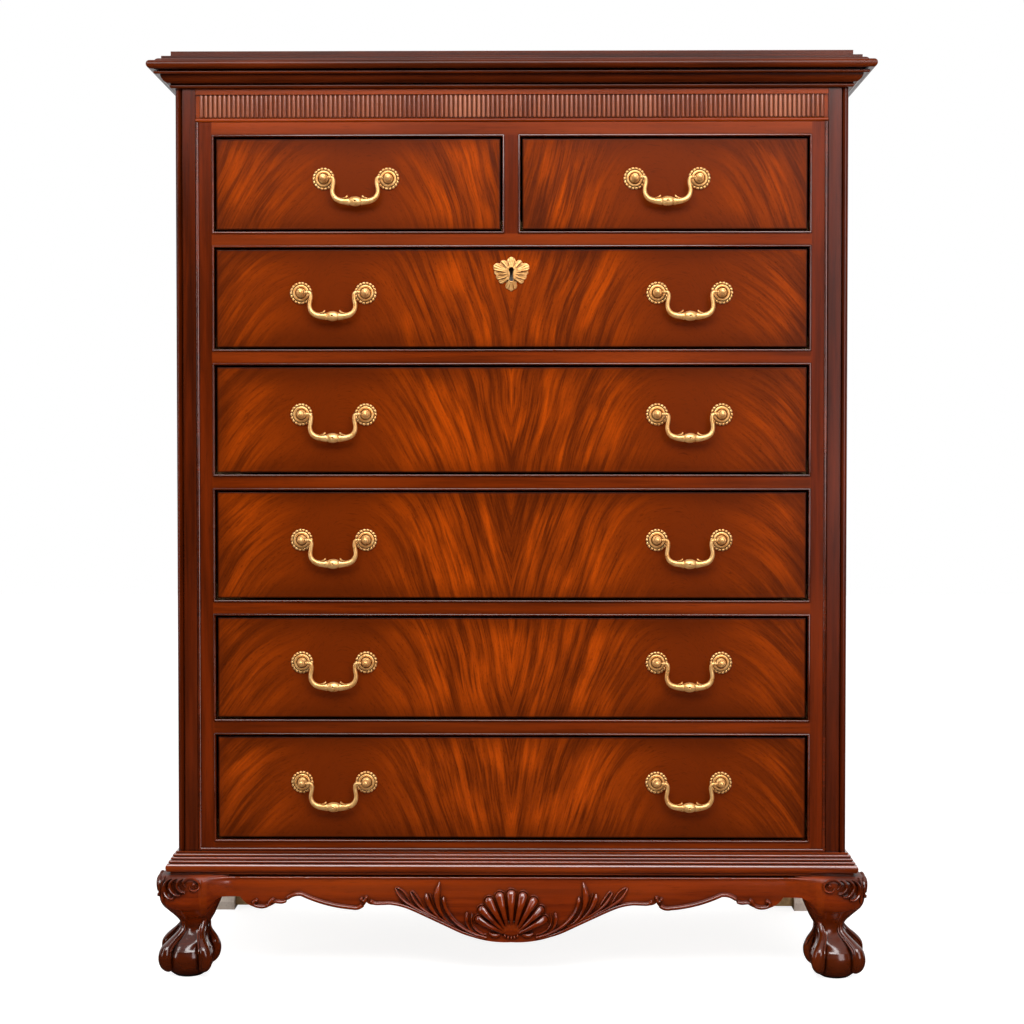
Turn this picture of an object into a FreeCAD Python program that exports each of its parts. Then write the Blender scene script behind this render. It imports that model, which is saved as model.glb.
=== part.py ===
import FreeCAD, Part
import math
import os

# Tall chest: two short drawers over five long ones, on ball-and-claw front legs and
# ogee bracket rear feet. Millimetres, +Z up, the front faces -Y, and the origin lies
# on the floor under the middle of the overall box.

# ---- the case -------------------------------------------------------------------
CASE_WIDTH = 1000.0
CASE_DEPTH = 480.0
LEG_HEIGHT = 155.4            # floor to the underside of the case
BOTTOM_RAIL = 47.2            # height of the rail that the base moulding covers
TOP_RAIL = 18.4
FRIEZE_HEIGHT = 49.6
CORNICE_HEIGHT = 45.4
TOP_THICKNESS = 9.0
TOP_OVERHANG = 5.0
SIDE_THICKNESS = 20.0
BACK_THICKNESS = 8.0
BOTTOM_THICKNESS = 12.0

# ---- the front frame ------------------------------------------------------------
ROW_HEIGHTS = (157.5, 155.5, 164.5, 163.0, 151.5, 140.6)   # clear openings, bottom row first
DIVIDER_RAIL = 17.28          # face of a rail between two cock beads
POST_WIDTH = 30.5
POST_DEPTH = 45.0
CORNER_BEAD_RADIUS = 5.2
QUIRK = 1.8                   # width and depth of the groove beside a bead
FRAME_BEAD = 5.0              # half-round bead round the face frame
STILE_FACE = 19.0             # face of the stile between the frame bead and a cock bead
COCK_BEAD = 3.0
COCK_BEAD_PROUD = 2.5
COCK_BEAD_DEPTH = 8.5         # front to back
MUNTIN_FACE = 20.4

# ---- mouldings ------------------------------------------------------------------
CORNICE_OVERHANG = 36.0
BASE_OVERHANG = 16.5
BASE_HEIGHT = 33.0
REED_PITCH = 6.88
REED_GAP = 1.2
REED_RISE = 2.6
REED_LENGTH = 34.6
FRIEZE_BOARD = 18.0
FRIEZE_BEAD = 6.4             # height of the small bead under the reeds

# ---- drawers --------------------------------------------------------------------
DRAWER_GAP = 3.2              # round each drawer front
FRONT_RECESS = 1.5            # face of a drawer front behind the face frame
FRONT_ROUND = 1.2             # radius along the edges of its face
FRONT_THICKNESS = 20.0
BOX_SIDE = 12.0
BOX_BOTTOM = 6.0
BOX_BOTTOM_RISE = 9.0         # underside of the bottom panel above the side's lower edge
BOX_TOP_DROP = 10.0           # sides end this far below the top of the front
BOX_INSET = 1.0               # each side stands in from the end of the front
BOX_REAR_GAP = 12.0           # between the closed drawer and the back panel
RUNNER_CLEARANCE = 0.3
GUIDE_CLEARANCE = 1.4
RUNNER_WIDTH = 62.0
GUIDE_HEIGHT = 18.0
DUST_PANEL = 5.0

# ---- bail handles ---------------------------------------------------------------
BORE_SPACING = 96.0
SHORT_PAIR_X = 231.0          # handle centre on a short drawer, from the chest's middle
LONG_PAIR_X = 265.0
HANDLE_RISE = 8.0             # post centres above the middle of the opening
ROSETTE_RADIUS = 16.5
ROSETTE_THICKNESS = 2.6
KNOB_RADIUS = 6.3
PIVOT_STANDOFF = 15.5         # bail pivot in front of the drawer front
POST_STEM_RADIUS = 4.2
SHANK_RADIUS = 2.4
SHANK_CLEARANCE = 0.1
NUT_RADIUS = 5.5
NUT_HEIGHT = 4.0
PIN_RADIUS = 2.0
PIN_CLEARANCE = 0.07
PIN_ENGAGEMENT = 6.0
BAIL_ROD_RADIUS = 2.8
BAIL_DROP = 38.0
BAIL_NECK_X = 31.5
BAIL_HIP_X = 38.6
BAIL_HIP_DROP = 22.0
BAIL_BOSS_RADIUS = 6.4
BAIL_BOSS_LENGTH = 25.0
BAIL_SHOULDER_GAP = 0.3
BAIL_BENDS = (4.2, 12.0, 8.0)   # bend radii from the pivot down to the grip

# ---- lock -----------------------------------------------------------------------
ESCUTCHEON_RADIUS = 26.0
ESCUTCHEON_THICKNESS = 2.4
KEYHOLE_RISE = 42.0           # centre of the keyhole above the middle of the opening
KEYHOLE_RADIUS = 3.9
KEYHOLE_SLOT = 5.6
KEYHOLE_LENGTH = 16.0
LOCK_WIDTH = 60.0
LOCK_DEPTH = 12.0
LOCK_WALL = 2.0
LOCK_DROP = 24.0              # lock case below the keyhole's centre
BOLT_WIDTH = 20.0
BOLT_DEPTH = 5.0
BOLT_HEIGHT = 24.0
BOLT_TRAVEL = 11.0
BOLT_CLEARANCE = 0.3

# ---- legs and apron -------------------------------------------------------------
KNEE_OVERHANG = 27.0
LEG_BLOCK = 67.0              # square block at the top of a leg, in from the case corner
LEG_BLOCK_HEIGHT = 33.4
ANKLE_SIZE = 49.0
ANKLE_HEIGHT = 82.0
ANKLE_INSET = 2.5
FOOT_INSET = 12.0             # centre of the ball in from the case corner
BALL_RADIUS = 38.0
BALL_CENTRE_HEIGHT = 27.0
BALL_HALF_HEIGHT = 28.5
CLAW_RADIUS = 9.5
CLAW_REACH = 44.5             # middle of a toe from the ball's upright axis
APRON_THICKNESS = 22.0
APRON_PROUD = 6.0             # apron face in front of the case front
EDGE_BEAD = 4.5
EDGE_BEAD_PROUD = 2.0
SHELL_LENGTH = 66.0
SHELL_RISE = 8.0
SHELL_BASE_HEIGHT = 64.5      # hub of the shell above the floor
LEAF_RELIEF = 4.0
BACK_RAIL_DROP = 38.0
REAR_FOOT_LENGTH = 120.0
REAR_FOOT_PAD = 62.0
REAR_FOOT_BOARD = 18.0
REAR_FOOT_FLARE = 18.0
REAR_FOOT_NOSE = 14.0         # upright end of the pad before the curve springs
GLUE_BLOCK = 34.0
GLUE_BLOCK_LIFT = 6.0         # rear blocks stop this far above the floor

V = FreeCAD.Vector
UP = V(0, 0, 1)

# ---- places worked out from the sizes above ---------------------------------------
HALF = CASE_WIDTH / 2
FRONT_Y = -(CASE_DEPTH + CORNICE_OVERHANG) / 2 + CORNICE_OVERHANG
BACK_Y = FRONT_Y + CASE_DEPTH
PANEL_Y = BACK_Y - BACK_THICKNESS
INSIDE = HALF - SIDE_THICKNESS
FRAME_HALF = HALF - POST_WIDTH
STILE_OUTER = FRAME_HALF
OPENING_HALF = FRAME_HALF - FRAME_BEAD - STILE_FACE - COCK_BEAD
RAIL_HALF = OPENING_HALF + COCK_BEAD
MUNTIN_HALF = MUNTIN_FACE / 2
RAIL_BACK_Y = FRONT_Y + POST_DEPTH
FACE_Y = FRONT_Y + FRONT_RECESS
FRONT_BACK_Y = FACE_Y + FRONT_THICKNESS
DRAWER_BACK_Y = PANEL_Y - BOX_REAR_GAP


def row_levels():
    """Lower and upper edge of each row's opening, bottom row first."""
    levels = []
    low = LEG_HEIGHT + BOTTOM_RAIL + COCK_BEAD
    for height in ROW_HEIGHTS:
        levels.append((low, low + height))
        low += height + DIVIDER_RAIL + 2 * COCK_BEAD
    return levels


ROWS = row_levels()
FRIEZE_Z = ROWS[-1][1] + COCK_BEAD + TOP_RAIL
CORNICE_Z = FRIEZE_Z + FRIEZE_HEIGHT
TOP_Z = CORNICE_Z + CORNICE_HEIGHT
BASE_TOP_Z = LEG_HEIGHT + BASE_HEIGHT


# ---- small helpers ----------------------------------------------------------------
def box(x0, x1, y0, y1, z0, z1):
    return Part.makeBox(x1 - x0, y1 - y0, z1 - z0, V(x0, y0, z0))


def mirrored(shape):
    return shape.mirror(V(0, 0, 0), V(1, 0, 0))


def both_sides(shape):
    return [mirrored(shape), shape]


def outline(place, start, steps):
    """Closed face: a step is an end point, or (point passed through, end point) for an arc."""
    edges = []
    here = start
    for step in steps:
        if isinstance(step[0], tuple):
            through, end = step
            edges.append(Part.Arc(place(*here), place(*through), place(*end)).toShape())
        else:
            end = step
            edges.append(Part.makeLine(place(*here), place(*end)))
        here = end
    if (here[0] - start[0]) ** 2 + (here[1] - start[1]) ** 2 > 1e-12:
        edges.append(Part.makeLine(place(*here), place(*start)))
    return Part.Face(Part.Wire(edges))


def prism(points, low, high):
    """Upright prism on a polygon in plan."""
    corners = [V(x, y, low) for x, y in points]
    face = Part.Face(Part.makePolygon(corners + corners[:1]))
    return face.extrude(V(0, 0, high - low))


def export(node, solids):
    shape = solids[0] if len(solids) == 1 else Part.makeCompound(solids)
    shape.exportStep(os.path.join("parts", node + ".step"))


# ---- mouldings that run round the front and both sides ------------------------------
def mitred_moulding(start, steps, overhang, low, high):
    """Front length and two returns of one moulding, mitred at the front corners.

    The outline is given as (distance out from the case, height)."""
    front = outline(lambda out, z: V(-HALF - overhang, FRONT_Y - out, z), start, steps)
    front = front.extrude(V(CASE_WIDTH + 2 * overhang, 0, 0))
    side = outline(lambda out, z: V(HALF + out, FRONT_Y - overhang, z), start, steps)
    side = side.extrude(V(0, CASE_DEPTH + overhang, 0))
    reach = 2 * overhang
    corner = (HALF, FRONT_Y)
    far = (HALF + reach, FRONT_Y - reach)
    off_front = prism([corner, (HALF + reach, FRONT_Y), far], low, high)
    off_side = prism([corner, far, (HALF, FRONT_Y - reach)], low, high)
    front = front.cut(off_front).cut(mirrored(off_front))
    return [front] + both_sides(side.cut(off_side))


def cornice_moulding():
    """Small bead, cove, fillet, bold nose and an ogee up to the top board.

    Each level is a share of the moulding's height, and each reach a share of its overhang."""
    out = CORNICE_OVERHANG

    def at(reach, level):
        return (reach * out, CORNICE_Z + level * CORNICE_HEIGHT)

    steps = [
        at(0.17, 0), (at(0.25, 0.066), at(0.17, 0.132)), at(0.26, 0.132),
        (at(0.33, 0.308), at(0.55, 0.419)), at(0.77, 0.419),
        at(0.77, 0.498), at(0.9, 0.498),
        (at(1.0, 0.65), at(0.9, 0.802)), at(0.72, 0.802),
        (at(0.62, 0.89), at(0.47, 0.912)), at(0.47, 1.0), at(0, 1.0),
    ]
    return mitred_moulding(at(0, 0), steps, out, CORNICE_Z, TOP_Z)


def base_moulding():
    """Bold torus with three small beads stepping back above it, and a fillet at the top."""
    out = BASE_OVERHANG

    def at(reach, level):
        return (reach * out, LEG_HEIGHT + level * BASE_HEIGHT)

    steps = [
        at(0.62, 0), at(0.62, 0.121), at(0.84, 0.121),
        (at(1.0, 0.303), at(0.84, 0.485)), at(0.66, 0.485),
        (at(0.76, 0.555), at(0.66, 0.624)), at(0.48, 0.624),
        (at(0.58, 0.694), at(0.48, 0.764)), at(0.34, 0.764),
        (at(0.42, 0.833), at(0.34, 0.903)), at(0.18, 0.903),
        at(0.18, 1.0), at(0, 1.0),
    ]
    return mitred_moulding(at(0, 0), steps, out, LEG_HEIGHT, BASE_TOP_Z)


# ---- the case ------------------------------------------------------------------------
def side_panel():
    return box(INSIDE, HALF, RAIL_BACK_Y, BACK_Y, LEG_HEIGHT, TOP_Z)


def corner_post():
    """Post with a bead worked on its outer corner, between two quirks, and a quirk inside."""
    r = CORNER_BEAD_RADIUS
    bead = 2 * r
    x = HALF
    y = FRONT_Y
    steps = [
        (x, y + bead + QUIRK), (x - QUIRK, y + bead + QUIRK), (x - QUIRK, y + bead),
        (x - r, y + bead),
        ((x, y + r), (x - r, y)), (x - bead, y + r), (x - bead, y + QUIRK),
        (x - bead - QUIRK, y + QUIRK), (x - bead - QUIRK, y),
        (STILE_OUTER + QUIRK / 2, y), (STILE_OUTER + QUIRK / 2, y + QUIRK), (STILE_OUTER, y + QUIRK),
        (STILE_OUTER, y + POST_DEPTH), (x, y + POST_DEPTH),
    ]
    plan = outline(lambda px, py: V(px, py, LEG_HEIGHT), (x, y + POST_DEPTH), steps)
    return plan.extrude(V(0, 0, TOP_Z - LEG_HEIGHT))


def face_stile():
    return box(RAIL_HALF, STILE_OUTER, FRONT_Y, RAIL_BACK_Y, LEG_HEIGHT, FRIEZE_Z)


def rail_levels():
    """Lower and upper edge of each rail, bottom rail first."""
    edges = [(LEG_HEIGHT, ROWS[0][0] - COCK_BEAD)]
    for below, above in zip(ROWS, ROWS[1:]):
        edges.append((below[1] + COCK_BEAD, above[0] - COCK_BEAD))
    edges.append((ROWS[-1][1] + COCK_BEAD, FRIEZE_Z))
    return edges


RAILS = rail_levels()
LOCK_ROW = len(ROWS) - 2      # the lock is on the long drawer under the short ones
KEYHOLE_Z = sum(ROWS[LOCK_ROW]) / 2 + KEYHOLE_RISE
BOLT_Y = FRONT_BACK_Y - LOCK_DEPTH / 2


def bolt_mortise():
    top = ROWS[LOCK_ROW][1] - DRAWER_GAP + BOLT_TRAVEL + 2 * BOLT_CLEARANCE
    half = BOLT_WIDTH / 2 + BOLT_CLEARANCE
    deep = BOLT_DEPTH / 2 + BOLT_CLEARANCE
    return box(-half, half, BOLT_Y - deep, BOLT_Y + deep, ROWS[LOCK_ROW][1], top)


def drawer_rails():
    rails = []
    for low, high in RAILS:
        rails.append(box(-RAIL_HALF, RAIL_HALF, FRONT_Y, RAIL_BACK_Y, low, high))
    rails[LOCK_ROW + 1] = rails[LOCK_ROW + 1].cut(bolt_mortise())
    return rails


def centre_muntin():
    return box(-MUNTIN_HALF, MUNTIN_HALF, FRONT_Y, RAIL_BACK_Y, RAILS[-2][1], RAILS[-1][0])


def frame_bead():
    """Half-round bead down both stiles and along the bottom of the face frame."""
    r = FRAME_BEAD / 2
    side = Part.makeCylinder(r, FRIEZE_Z - BASE_TOP_Z, V(STILE_OUTER - r, FRONT_Y, BASE_TOP_Z))
    side = side.common(box(0, HALF, FRONT_Y - r, FRONT_Y, 0, TOP_Z))
    length = 2 * (STILE_OUTER - FRAME_BEAD)
    foot = Part.makeCylinder(r, length, V(-length / 2, FRONT_Y, BASE_TOP_Z + r), V(1, 0, 0))
    foot = foot.common(box(-HALF, HALF, FRONT_Y - r, FRONT_Y, 0, TOP_Z))
    return both_sides(side) + [foot]


def bead_frame(x0, x1, z0, z1):
    """Cock bead round one opening: four strips with a rounded nose, mitred into one frame."""
    b = COCK_BEAD
    y0 = FRONT_Y - COCK_BEAD_PROUD
    y1 = y0 + COCK_BEAD_DEPTH
    frame = box(x0 - b, x1 + b, y0, y1, z0 - b, z1 + b)
    frame = frame.cut(box(x0, x1, y0, y1, z0, z1))
    nose = [e for e in frame.Edges if abs(e.CenterOfMass.y - y0) < 1e-6]
    return frame.makeFillet(0.4 * b, nose)


def openings_of_row(row):
    """Left and right edge of each opening in a row."""
    if row < len(ROWS) - 1:
        return [(-OPENING_HALF, OPENING_HALF)]
    inner = MUNTIN_HALF + COCK_BEAD
    return [(-OPENING_HALF, -inner), (inner, OPENING_HALF)]


def cock_beads():
    frames = []
    for row, (low, high) in enumerate(ROWS):
        for left, right in openings_of_row(row):
            frames.append(bead_frame(left, right, low, high))
    return frames


def frieze_board():
    """Board behind the reeds, with a small bead below them and a plain strip above."""
    y = FRONT_Y + REED_RISE
    board = box(-FRAME_HALF, FRAME_HALF, y, y + FRIEZE_BOARD, FRIEZE_Z, TOP_Z)
    reed_top = FRIEZE_Z + FRIEZE_BEAD + REED_LENGTH
    strip = box(-FRAME_HALF, FRAME_HALF, FRONT_Y, y, reed_top, TOP_Z)
    r = FRIEZE_BEAD / 2
    bead = Part.makeCylinder(r, 2 * FRAME_HALF, V(-FRAME_HALF, y, FRIEZE_Z + r), V(1, 0, 0))
    return board.fuse([strip, bead]).removeSplitter()


def frieze_reeding():
    """Row of upright half-round reeds on a thin ground, between the bead and the plain strip."""
    count = int(round(2 * (FRAME_HALF - FRAME_BEAD) / REED_PITCH))
    y = FRONT_Y + REED_RISE
    low = FRIEZE_Z + FRIEZE_BEAD
    left = -count * REED_PITCH / 2
    ground = y - 0.2 * REED_RISE
    steps = [(left, ground)]
    for n in range(count):
        x0 = left + n * REED_PITCH + REED_GAP / 2
        x1 = x0 + REED_PITCH - REED_GAP
        steps += [(x0, ground), (((x0 + x1) / 2, FRONT_Y), (x1, ground))]
    steps += [(-left, ground), (-left, y)]
    plan = outline(lambda px, py: V(px, py, low), (left, y), steps)
    return plan.extrude(V(0, 0, REED_LENGTH))


def top_board():
    out = TOP_OVERHANG
    return box(-HALF - out, HALF + out, FRONT_Y - out, BACK_Y, TOP_Z, TOP_Z + TOP_THICKNESS)


def back_panel():
    return box(-INSIDE, INSIDE, PANEL_Y, BACK_Y, LEG_HEIGHT, TOP_Z)


def bottom_board():
    high = LEG_HEIGHT + BOTTOM_THICKNESS
    return box(-INSIDE, INSIDE, RAIL_BACK_Y, PANEL_Y, LEG_HEIGHT, high)


# ---- what carries the drawers -------------------------------------------------------
def runner_level(row):
    """Top of the runner under a row: the drawer's lower edge less a running clearance."""
    return ROWS[row][0] + DRAWER_GAP - RUNNER_CLEARANCE


def drawer_runners():
    """A runner under each drawer side, level with its rail, and kickers at the top rail."""
    runners = []
    inner = OPENING_HALF - RUNNER_WIDTH + POST_WIDTH
    for row in range(len(ROWS)):
        low = RAILS[row][1] - DIVIDER_RAIL
        runners += both_sides(box(inner, INSIDE, RAIL_BACK_Y, PANEL_Y, low, runner_level(row)))
    low = RAILS[-1][0]
    runners += both_sides(box(inner, INSIDE, RAIL_BACK_Y, PANEL_Y, low, RAILS[-1][1]))
    middle = RUNNER_WIDTH / 2
    low = RAILS[-2][0]
    high = runner_level(len(ROWS) - 1)
    runners.append(box(-middle, middle, RAIL_BACK_Y, PANEL_Y, low, high))
    return runners


def drawer_guides():
    """Strips on the runners that keep each drawer square in its opening."""
    guides = []
    face = OPENING_HALF - DRAWER_GAP - BOX_INSET + GUIDE_CLEARANCE
    for row in range(len(ROWS)):
        low = runner_level(row)
        guides += both_sides(box(face, INSIDE, RAIL_BACK_Y, PANEL_Y, low, low + GUIDE_HEIGHT))
    half = MUNTIN_HALF + COCK_BEAD + DRAWER_GAP + BOX_INSET - GUIDE_CLEARANCE
    low = runner_level(len(ROWS) - 1)
    guides.append(box(-half, half, RAIL_BACK_Y, PANEL_Y, low, low + GUIDE_HEIGHT))
    return guides


def dust_panels():
    """Thin board between the runners of each divider."""
    panels = []
    inner = OPENING_HALF - RUNNER_WIDTH + POST_WIDTH
    for row in range(1, len(ROWS) - 1):
        middle = (RAILS[row][0] + RAILS[row][1]) / 2
        low = middle - DUST_PANEL / 2
        panels.append(box(-inner, inner, RAIL_BACK_Y, PANEL_Y, low, low + DUST_PANEL))
    middle = (RAILS[-2][0] + RAILS[-2][1]) / 2
    low = middle - DUST_PANEL / 2
    start = RUNNER_WIDTH / 2
    panels += both_sides(box(start, inner, RAIL_BACK_Y, PANEL_Y, low, low + DUST_PANEL))
    return panels


# ---- drawers --------------------------------------------------------------------------
def drawer_places():
    """Name, row, left edge and right edge of each drawer front, and its handle centres."""
    names = ["long_5", "long_4", "long_3", "long_2", "long_1"]
    places = []
    for row, name in enumerate(names):
        left, right = openings_of_row(row)[0]
        handles = [-LONG_PAIR_X, LONG_PAIR_X]
        places.append((name, row, left + DRAWER_GAP, right - DRAWER_GAP, handles))
    top = len(ROWS) - 1
    for name, side in (("short_left", 0), ("short_right", 1)):
        left, right = openings_of_row(top)[side]
        handles = [SHORT_PAIR_X * (2 * side - 1)]
        places.append((name, top, left + DRAWER_GAP, right - DRAWER_GAP, handles))
    return places


def handle_height(row):
    return sum(ROWS[row]) / 2 + HANDLE_RISE


def shank_hole(x, z):
    r = SHANK_RADIUS + SHANK_CLEARANCE
    return Part.makeCylinder(r, FRONT_THICKNESS, V(x, FACE_Y, z), V(0, 1, 0))


def keyhole_cutter(y0, y1):
    """Round head with a slot below it."""
    z = KEYHOLE_Z
    length = y1 - y0
    head = Part.makeCylinder(KEYHOLE_RADIUS, length, V(0, y0, z), V(0, 1, 0))
    half = KEYHOLE_SLOT / 2
    return head.fuse(box(-half, half, y0, y1, z - KEYHOLE_LENGTH, z))


def lock_pocket():
    """Room for the lock case, cut in from the back and the top of the drawer front."""
    half = LOCK_WIDTH / 2
    top = ROWS[LOCK_ROW][1] - DRAWER_GAP
    return box(-half, half, FRONT_BACK_Y - LOCK_DEPTH, FRONT_BACK_Y, KEYHOLE_Z - LOCK_DROP, top)


def drawer_front(row, left, right, handles):
    """Board with eased edges round its face, bored for its handles and its lock."""
    low, high = ROWS[row]
    front = box(left, right, FACE_Y, FRONT_BACK_Y, low + DRAWER_GAP, high - DRAWER_GAP)
    front = front.makeFillet(FRONT_ROUND, [e for e in front.Edges if abs(e.CenterOfMass.y - FACE_Y) < 1e-6])
    for centre in handles:
        for side in (-1, 1):
            front = front.cut(shank_hole(centre + side * BORE_SPACING / 2, handle_height(row)))
    if row == LOCK_ROW:
        front = front.cut(lock_pocket())
        front = front.cut(keyhole_cutter(FACE_Y, FRONT_BACK_Y))
    return front


def drawer_box(row, left, right):
    """Two sides, a back and a bottom panel held between them."""
    low = ROWS[row][0] + DRAWER_GAP
    high = ROWS[row][1] - DRAWER_GAP - BOX_TOP_DROP
    x0 = left + BOX_INSET
    x1 = right - BOX_INSET
    y0 = FRONT_BACK_Y
    y1 = DRAWER_BACK_Y
    inner0 = x0 + BOX_SIDE
    inner1 = x1 - BOX_SIDE
    panel_low = low + BOX_BOTTOM_RISE
    panel_high = panel_low + BOX_BOTTOM
    return [
        box(x0, inner0, y0, y1, low, high),
        box(inner1, x1, y0, y1, low, high),
        box(inner0, inner1, y1 - BOX_SIDE, y1, panel_high, high),
        box(inner0, inner1, y0, y1, panel_low, panel_high),
    ]


# ---- bail handles ---------------------------------------------------------------------
def handle_post(x, z, side):
    """Rosette, stem and knob in one casting on a shank, and the nut inside the drawer.

    side is +1 where the bail lies to the left of the post and -1 where it lies to the right."""
    knob_y = PIVOT_STANDOFF
    stem_end = knob_y - math.sqrt(KNOB_RADIUS ** 2 - POST_STEM_RADIUS ** 2)
    rim = ROSETTE_RADIUS
    thick = ROSETTE_THICKNESS
    steps = [
        (rim, 0), (rim, 0.5 * thick), ((0.92 * rim, thick), (0.82 * rim, thick)),
        (0.62 * rim, 0.7 * thick), (0.52 * rim, 1.3 * thick), (POST_STEM_RADIUS, 1.8 * thick),
        (POST_STEM_RADIUS, stem_end),
        ((KNOB_RADIUS, knob_y), (0, knob_y + KNOB_RADIUS)),
    ]
    half = outline(lambda r, out: V(x + r, FACE_Y - out, z), (0, 0), steps)
    post = half.revolve(V(x, FACE_Y, z), V(0, 1, 0), 360)
    length = FRONT_THICKNESS + 2 * NUT_HEIGHT
    shank = Part.makeCylinder(SHANK_RADIUS, length, V(x, FACE_Y, z), V(0, 1, 0))
    post = post.fuse(shank)
    bore_end = x + side * (PIN_ENGAGEMENT + PIN_CLEARANCE - KNOB_RADIUS)
    bore = Part.makeCylinder(
        PIN_RADIUS + PIN_CLEARANCE, 2 * KNOB_RADIUS, V(bore_end, FACE_Y - knob_y, z), V(-side, 0, 0)
    )
    post = post.cut(bore)
    nut = Part.makeCylinder(NUT_RADIUS, NUT_HEIGHT, V(x, FRONT_BACK_Y, z), V(0, 1, 0))
    hole = Part.makeCylinder(SHANK_RADIUS, NUT_HEIGHT, V(x, FRONT_BACK_Y, z), V(0, 1, 0))
    return [post, nut.cut(hole)]


def handle_posts(row, handles):
    solids = []
    for centre in handles:
        for side in (-1, 1):
            solids += handle_post(centre + side * BORE_SPACING / 2, handle_height(row), side)
    return solids


def rounded_path(points, radii):
    """Straight runs through the points, joined by tangent arcs of the given radii."""
    edges = []
    start = points[0]
    for before, corner, after, radius in zip(points, points[1:], points[2:], radii):
        inward = (before - corner).normalize()
        onward = (after - corner).normalize()
        half_angle = inward.getAngle(onward) / 2
        setback = radius / math.tan(half_angle)
        first = corner + inward * setback
        last = corner + onward * setback
        middle = (inward + onward).normalize()
        centre = corner + middle * (radius / math.sin(half_angle))
        edges.append(Part.makeLine(start, first))
        edges.append(Part.Arc(first, centre - middle * radius, last).toShape())
        start = last
    edges.append(Part.makeLine(start, points[-1]))
    return Part.Wire(edges)


def bail(centre, z):
    """Swan-neck bail with a pin at each end and an oval boss at the middle of the grip."""
    y = FACE_Y - PIVOT_STANDOFF
    half_spacing = BORE_SPACING / 2
    shoulder = half_spacing - KNOB_RADIUS - BAIL_SHOULDER_GAP
    half = [
        (shoulder, 0), (BAIL_NECK_X, 0), (BAIL_HIP_X, -BAIL_HIP_DROP), (BAIL_NECK_X - 2.0, -BAIL_DROP),
    ]
    corners = [(-px, pz) for px, pz in half] + half[::-1]
    points = [V(centre + px, y, z + pz) for px, pz in corners]
    path = rounded_path(points, BAIL_BENDS + BAIL_BENDS[::-1])
    section = Part.Wire(Part.makeCircle(BAIL_ROD_RADIUS, points[0], V(1, 0, 0)))
    rod = path.makePipeShell([section], True, False)
    across = BAIL_BOSS_LENGTH / 2
    tip = 0.3 * BAIL_ROD_RADIUS
    profile = outline(
        lambda px, pr: V(centre + px, y, z - BAIL_DROP + pr), (-across, 0),
        [(-across, tip), ((0, BAIL_BOSS_RADIUS), (across, tip)), (across, 0)],
    )
    boss = profile.revolve(V(centre, y, z - BAIL_DROP), V(1, 0, 0), 360)
    pin_length = BAIL_SHOULDER_GAP + PIN_ENGAGEMENT + BAIL_ROD_RADIUS
    start = shoulder - BAIL_ROD_RADIUS
    right = Part.makeCylinder(PIN_RADIUS, pin_length, V(centre + start, y, z), V(1, 0, 0))
    left = Part.makeCylinder(PIN_RADIUS, pin_length, V(centre - start, y, z), V(-1, 0, 0))
    return rod.fuse([boss, right, left])


# ---- lock and escutcheon ---------------------------------------------------------------
def escutcheon():
    """Fan-shaped plate: a round body with two side lobes and a pointed foot."""
    r = ESCUTCHEON_RADIUS
    z = KEYHOLE_Z - 0.22 * r
    y = FACE_Y - ESCUTCHEON_THICKNESS
    half = [
        ((0.32 * r, 0.92 * r), (0.55 * r, 0.66 * r)), ((0.95 * r, 0.62 * r), (1.0 * r, 0.12 * r)),
        ((0.88 * r, -0.32 * r), (0.5 * r, -0.5 * r)), ((0.3 * r, -0.85 * r), (0, -1.0 * r)),
    ]
    ends = [(0, r)] + [end for _, end in half]
    back = []
    for (through, _), start in reversed(list(zip(half, ends))):
        back.append(((-through[0], through[1]), (-start[0], start[1])))
    plate = outline(lambda px, pz: V(px, y, z + pz), (0, r), half + back)
    plate = plate.extrude(V(0, ESCUTCHEON_THICKNESS, 0))
    return plate.cut(keyhole_cutter(y, FACE_Y))


def lock_case():
    """Open-backed steel box let into the drawer front, with a slot for the bolt at its top."""
    half = LOCK_WIDTH / 2
    top = ROWS[LOCK_ROW][1] - DRAWER_GAP
    low = KEYHOLE_Z - LOCK_DROP
    y0 = FRONT_BACK_Y - LOCK_DEPTH
    wall = LOCK_WALL
    case = box(-half, half, y0, FRONT_BACK_Y, low, top)
    case = case.cut(box(wall - half, half - wall, y0 + wall, FRONT_BACK_Y - wall, low + wall, top - wall))
    slot = BOLT_WIDTH / 2 + BOLT_CLEARANCE
    deep = BOLT_DEPTH / 2 + BOLT_CLEARANCE
    case = case.cut(box(-slot, slot, BOLT_Y - deep, BOLT_Y + deep, top - wall, top))
    return case.cut(keyhole_cutter(y0, y0 + wall))


def lock_bolt():
    half = BOLT_WIDTH / 2
    deep = BOLT_DEPTH / 2
    top = ROWS[LOCK_ROW][1] - DRAWER_GAP
    return box(-half, half, BOLT_Y - deep, BOLT_Y + deep, top - BOLT_HEIGHT, top)


# ---- legs ---------------------------------------------------------------------------------
def leg_section(inner, outer, z, squareness):
    """Rounded square in plan; inner and outer are distances out from the case corner."""
    centre = (inner + outer) / 2
    half = (outer - inner) / 2
    points = []
    count = 24
    for n in range(count):
        angle = 2 * math.pi * n / count
        c = math.cos(angle)
        s = math.sin(angle)
        scale = half / (abs(c) ** squareness + abs(s) ** squareness) ** (1 / squareness)
        points.append(V(HALF + centre + c * scale, FRONT_Y - centre + s * scale, z))
    curve = Part.BSplineCurve()
    curve.interpolate(points, PeriodicFlag=True)
    return Part.Wire(curve.toShape())


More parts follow.
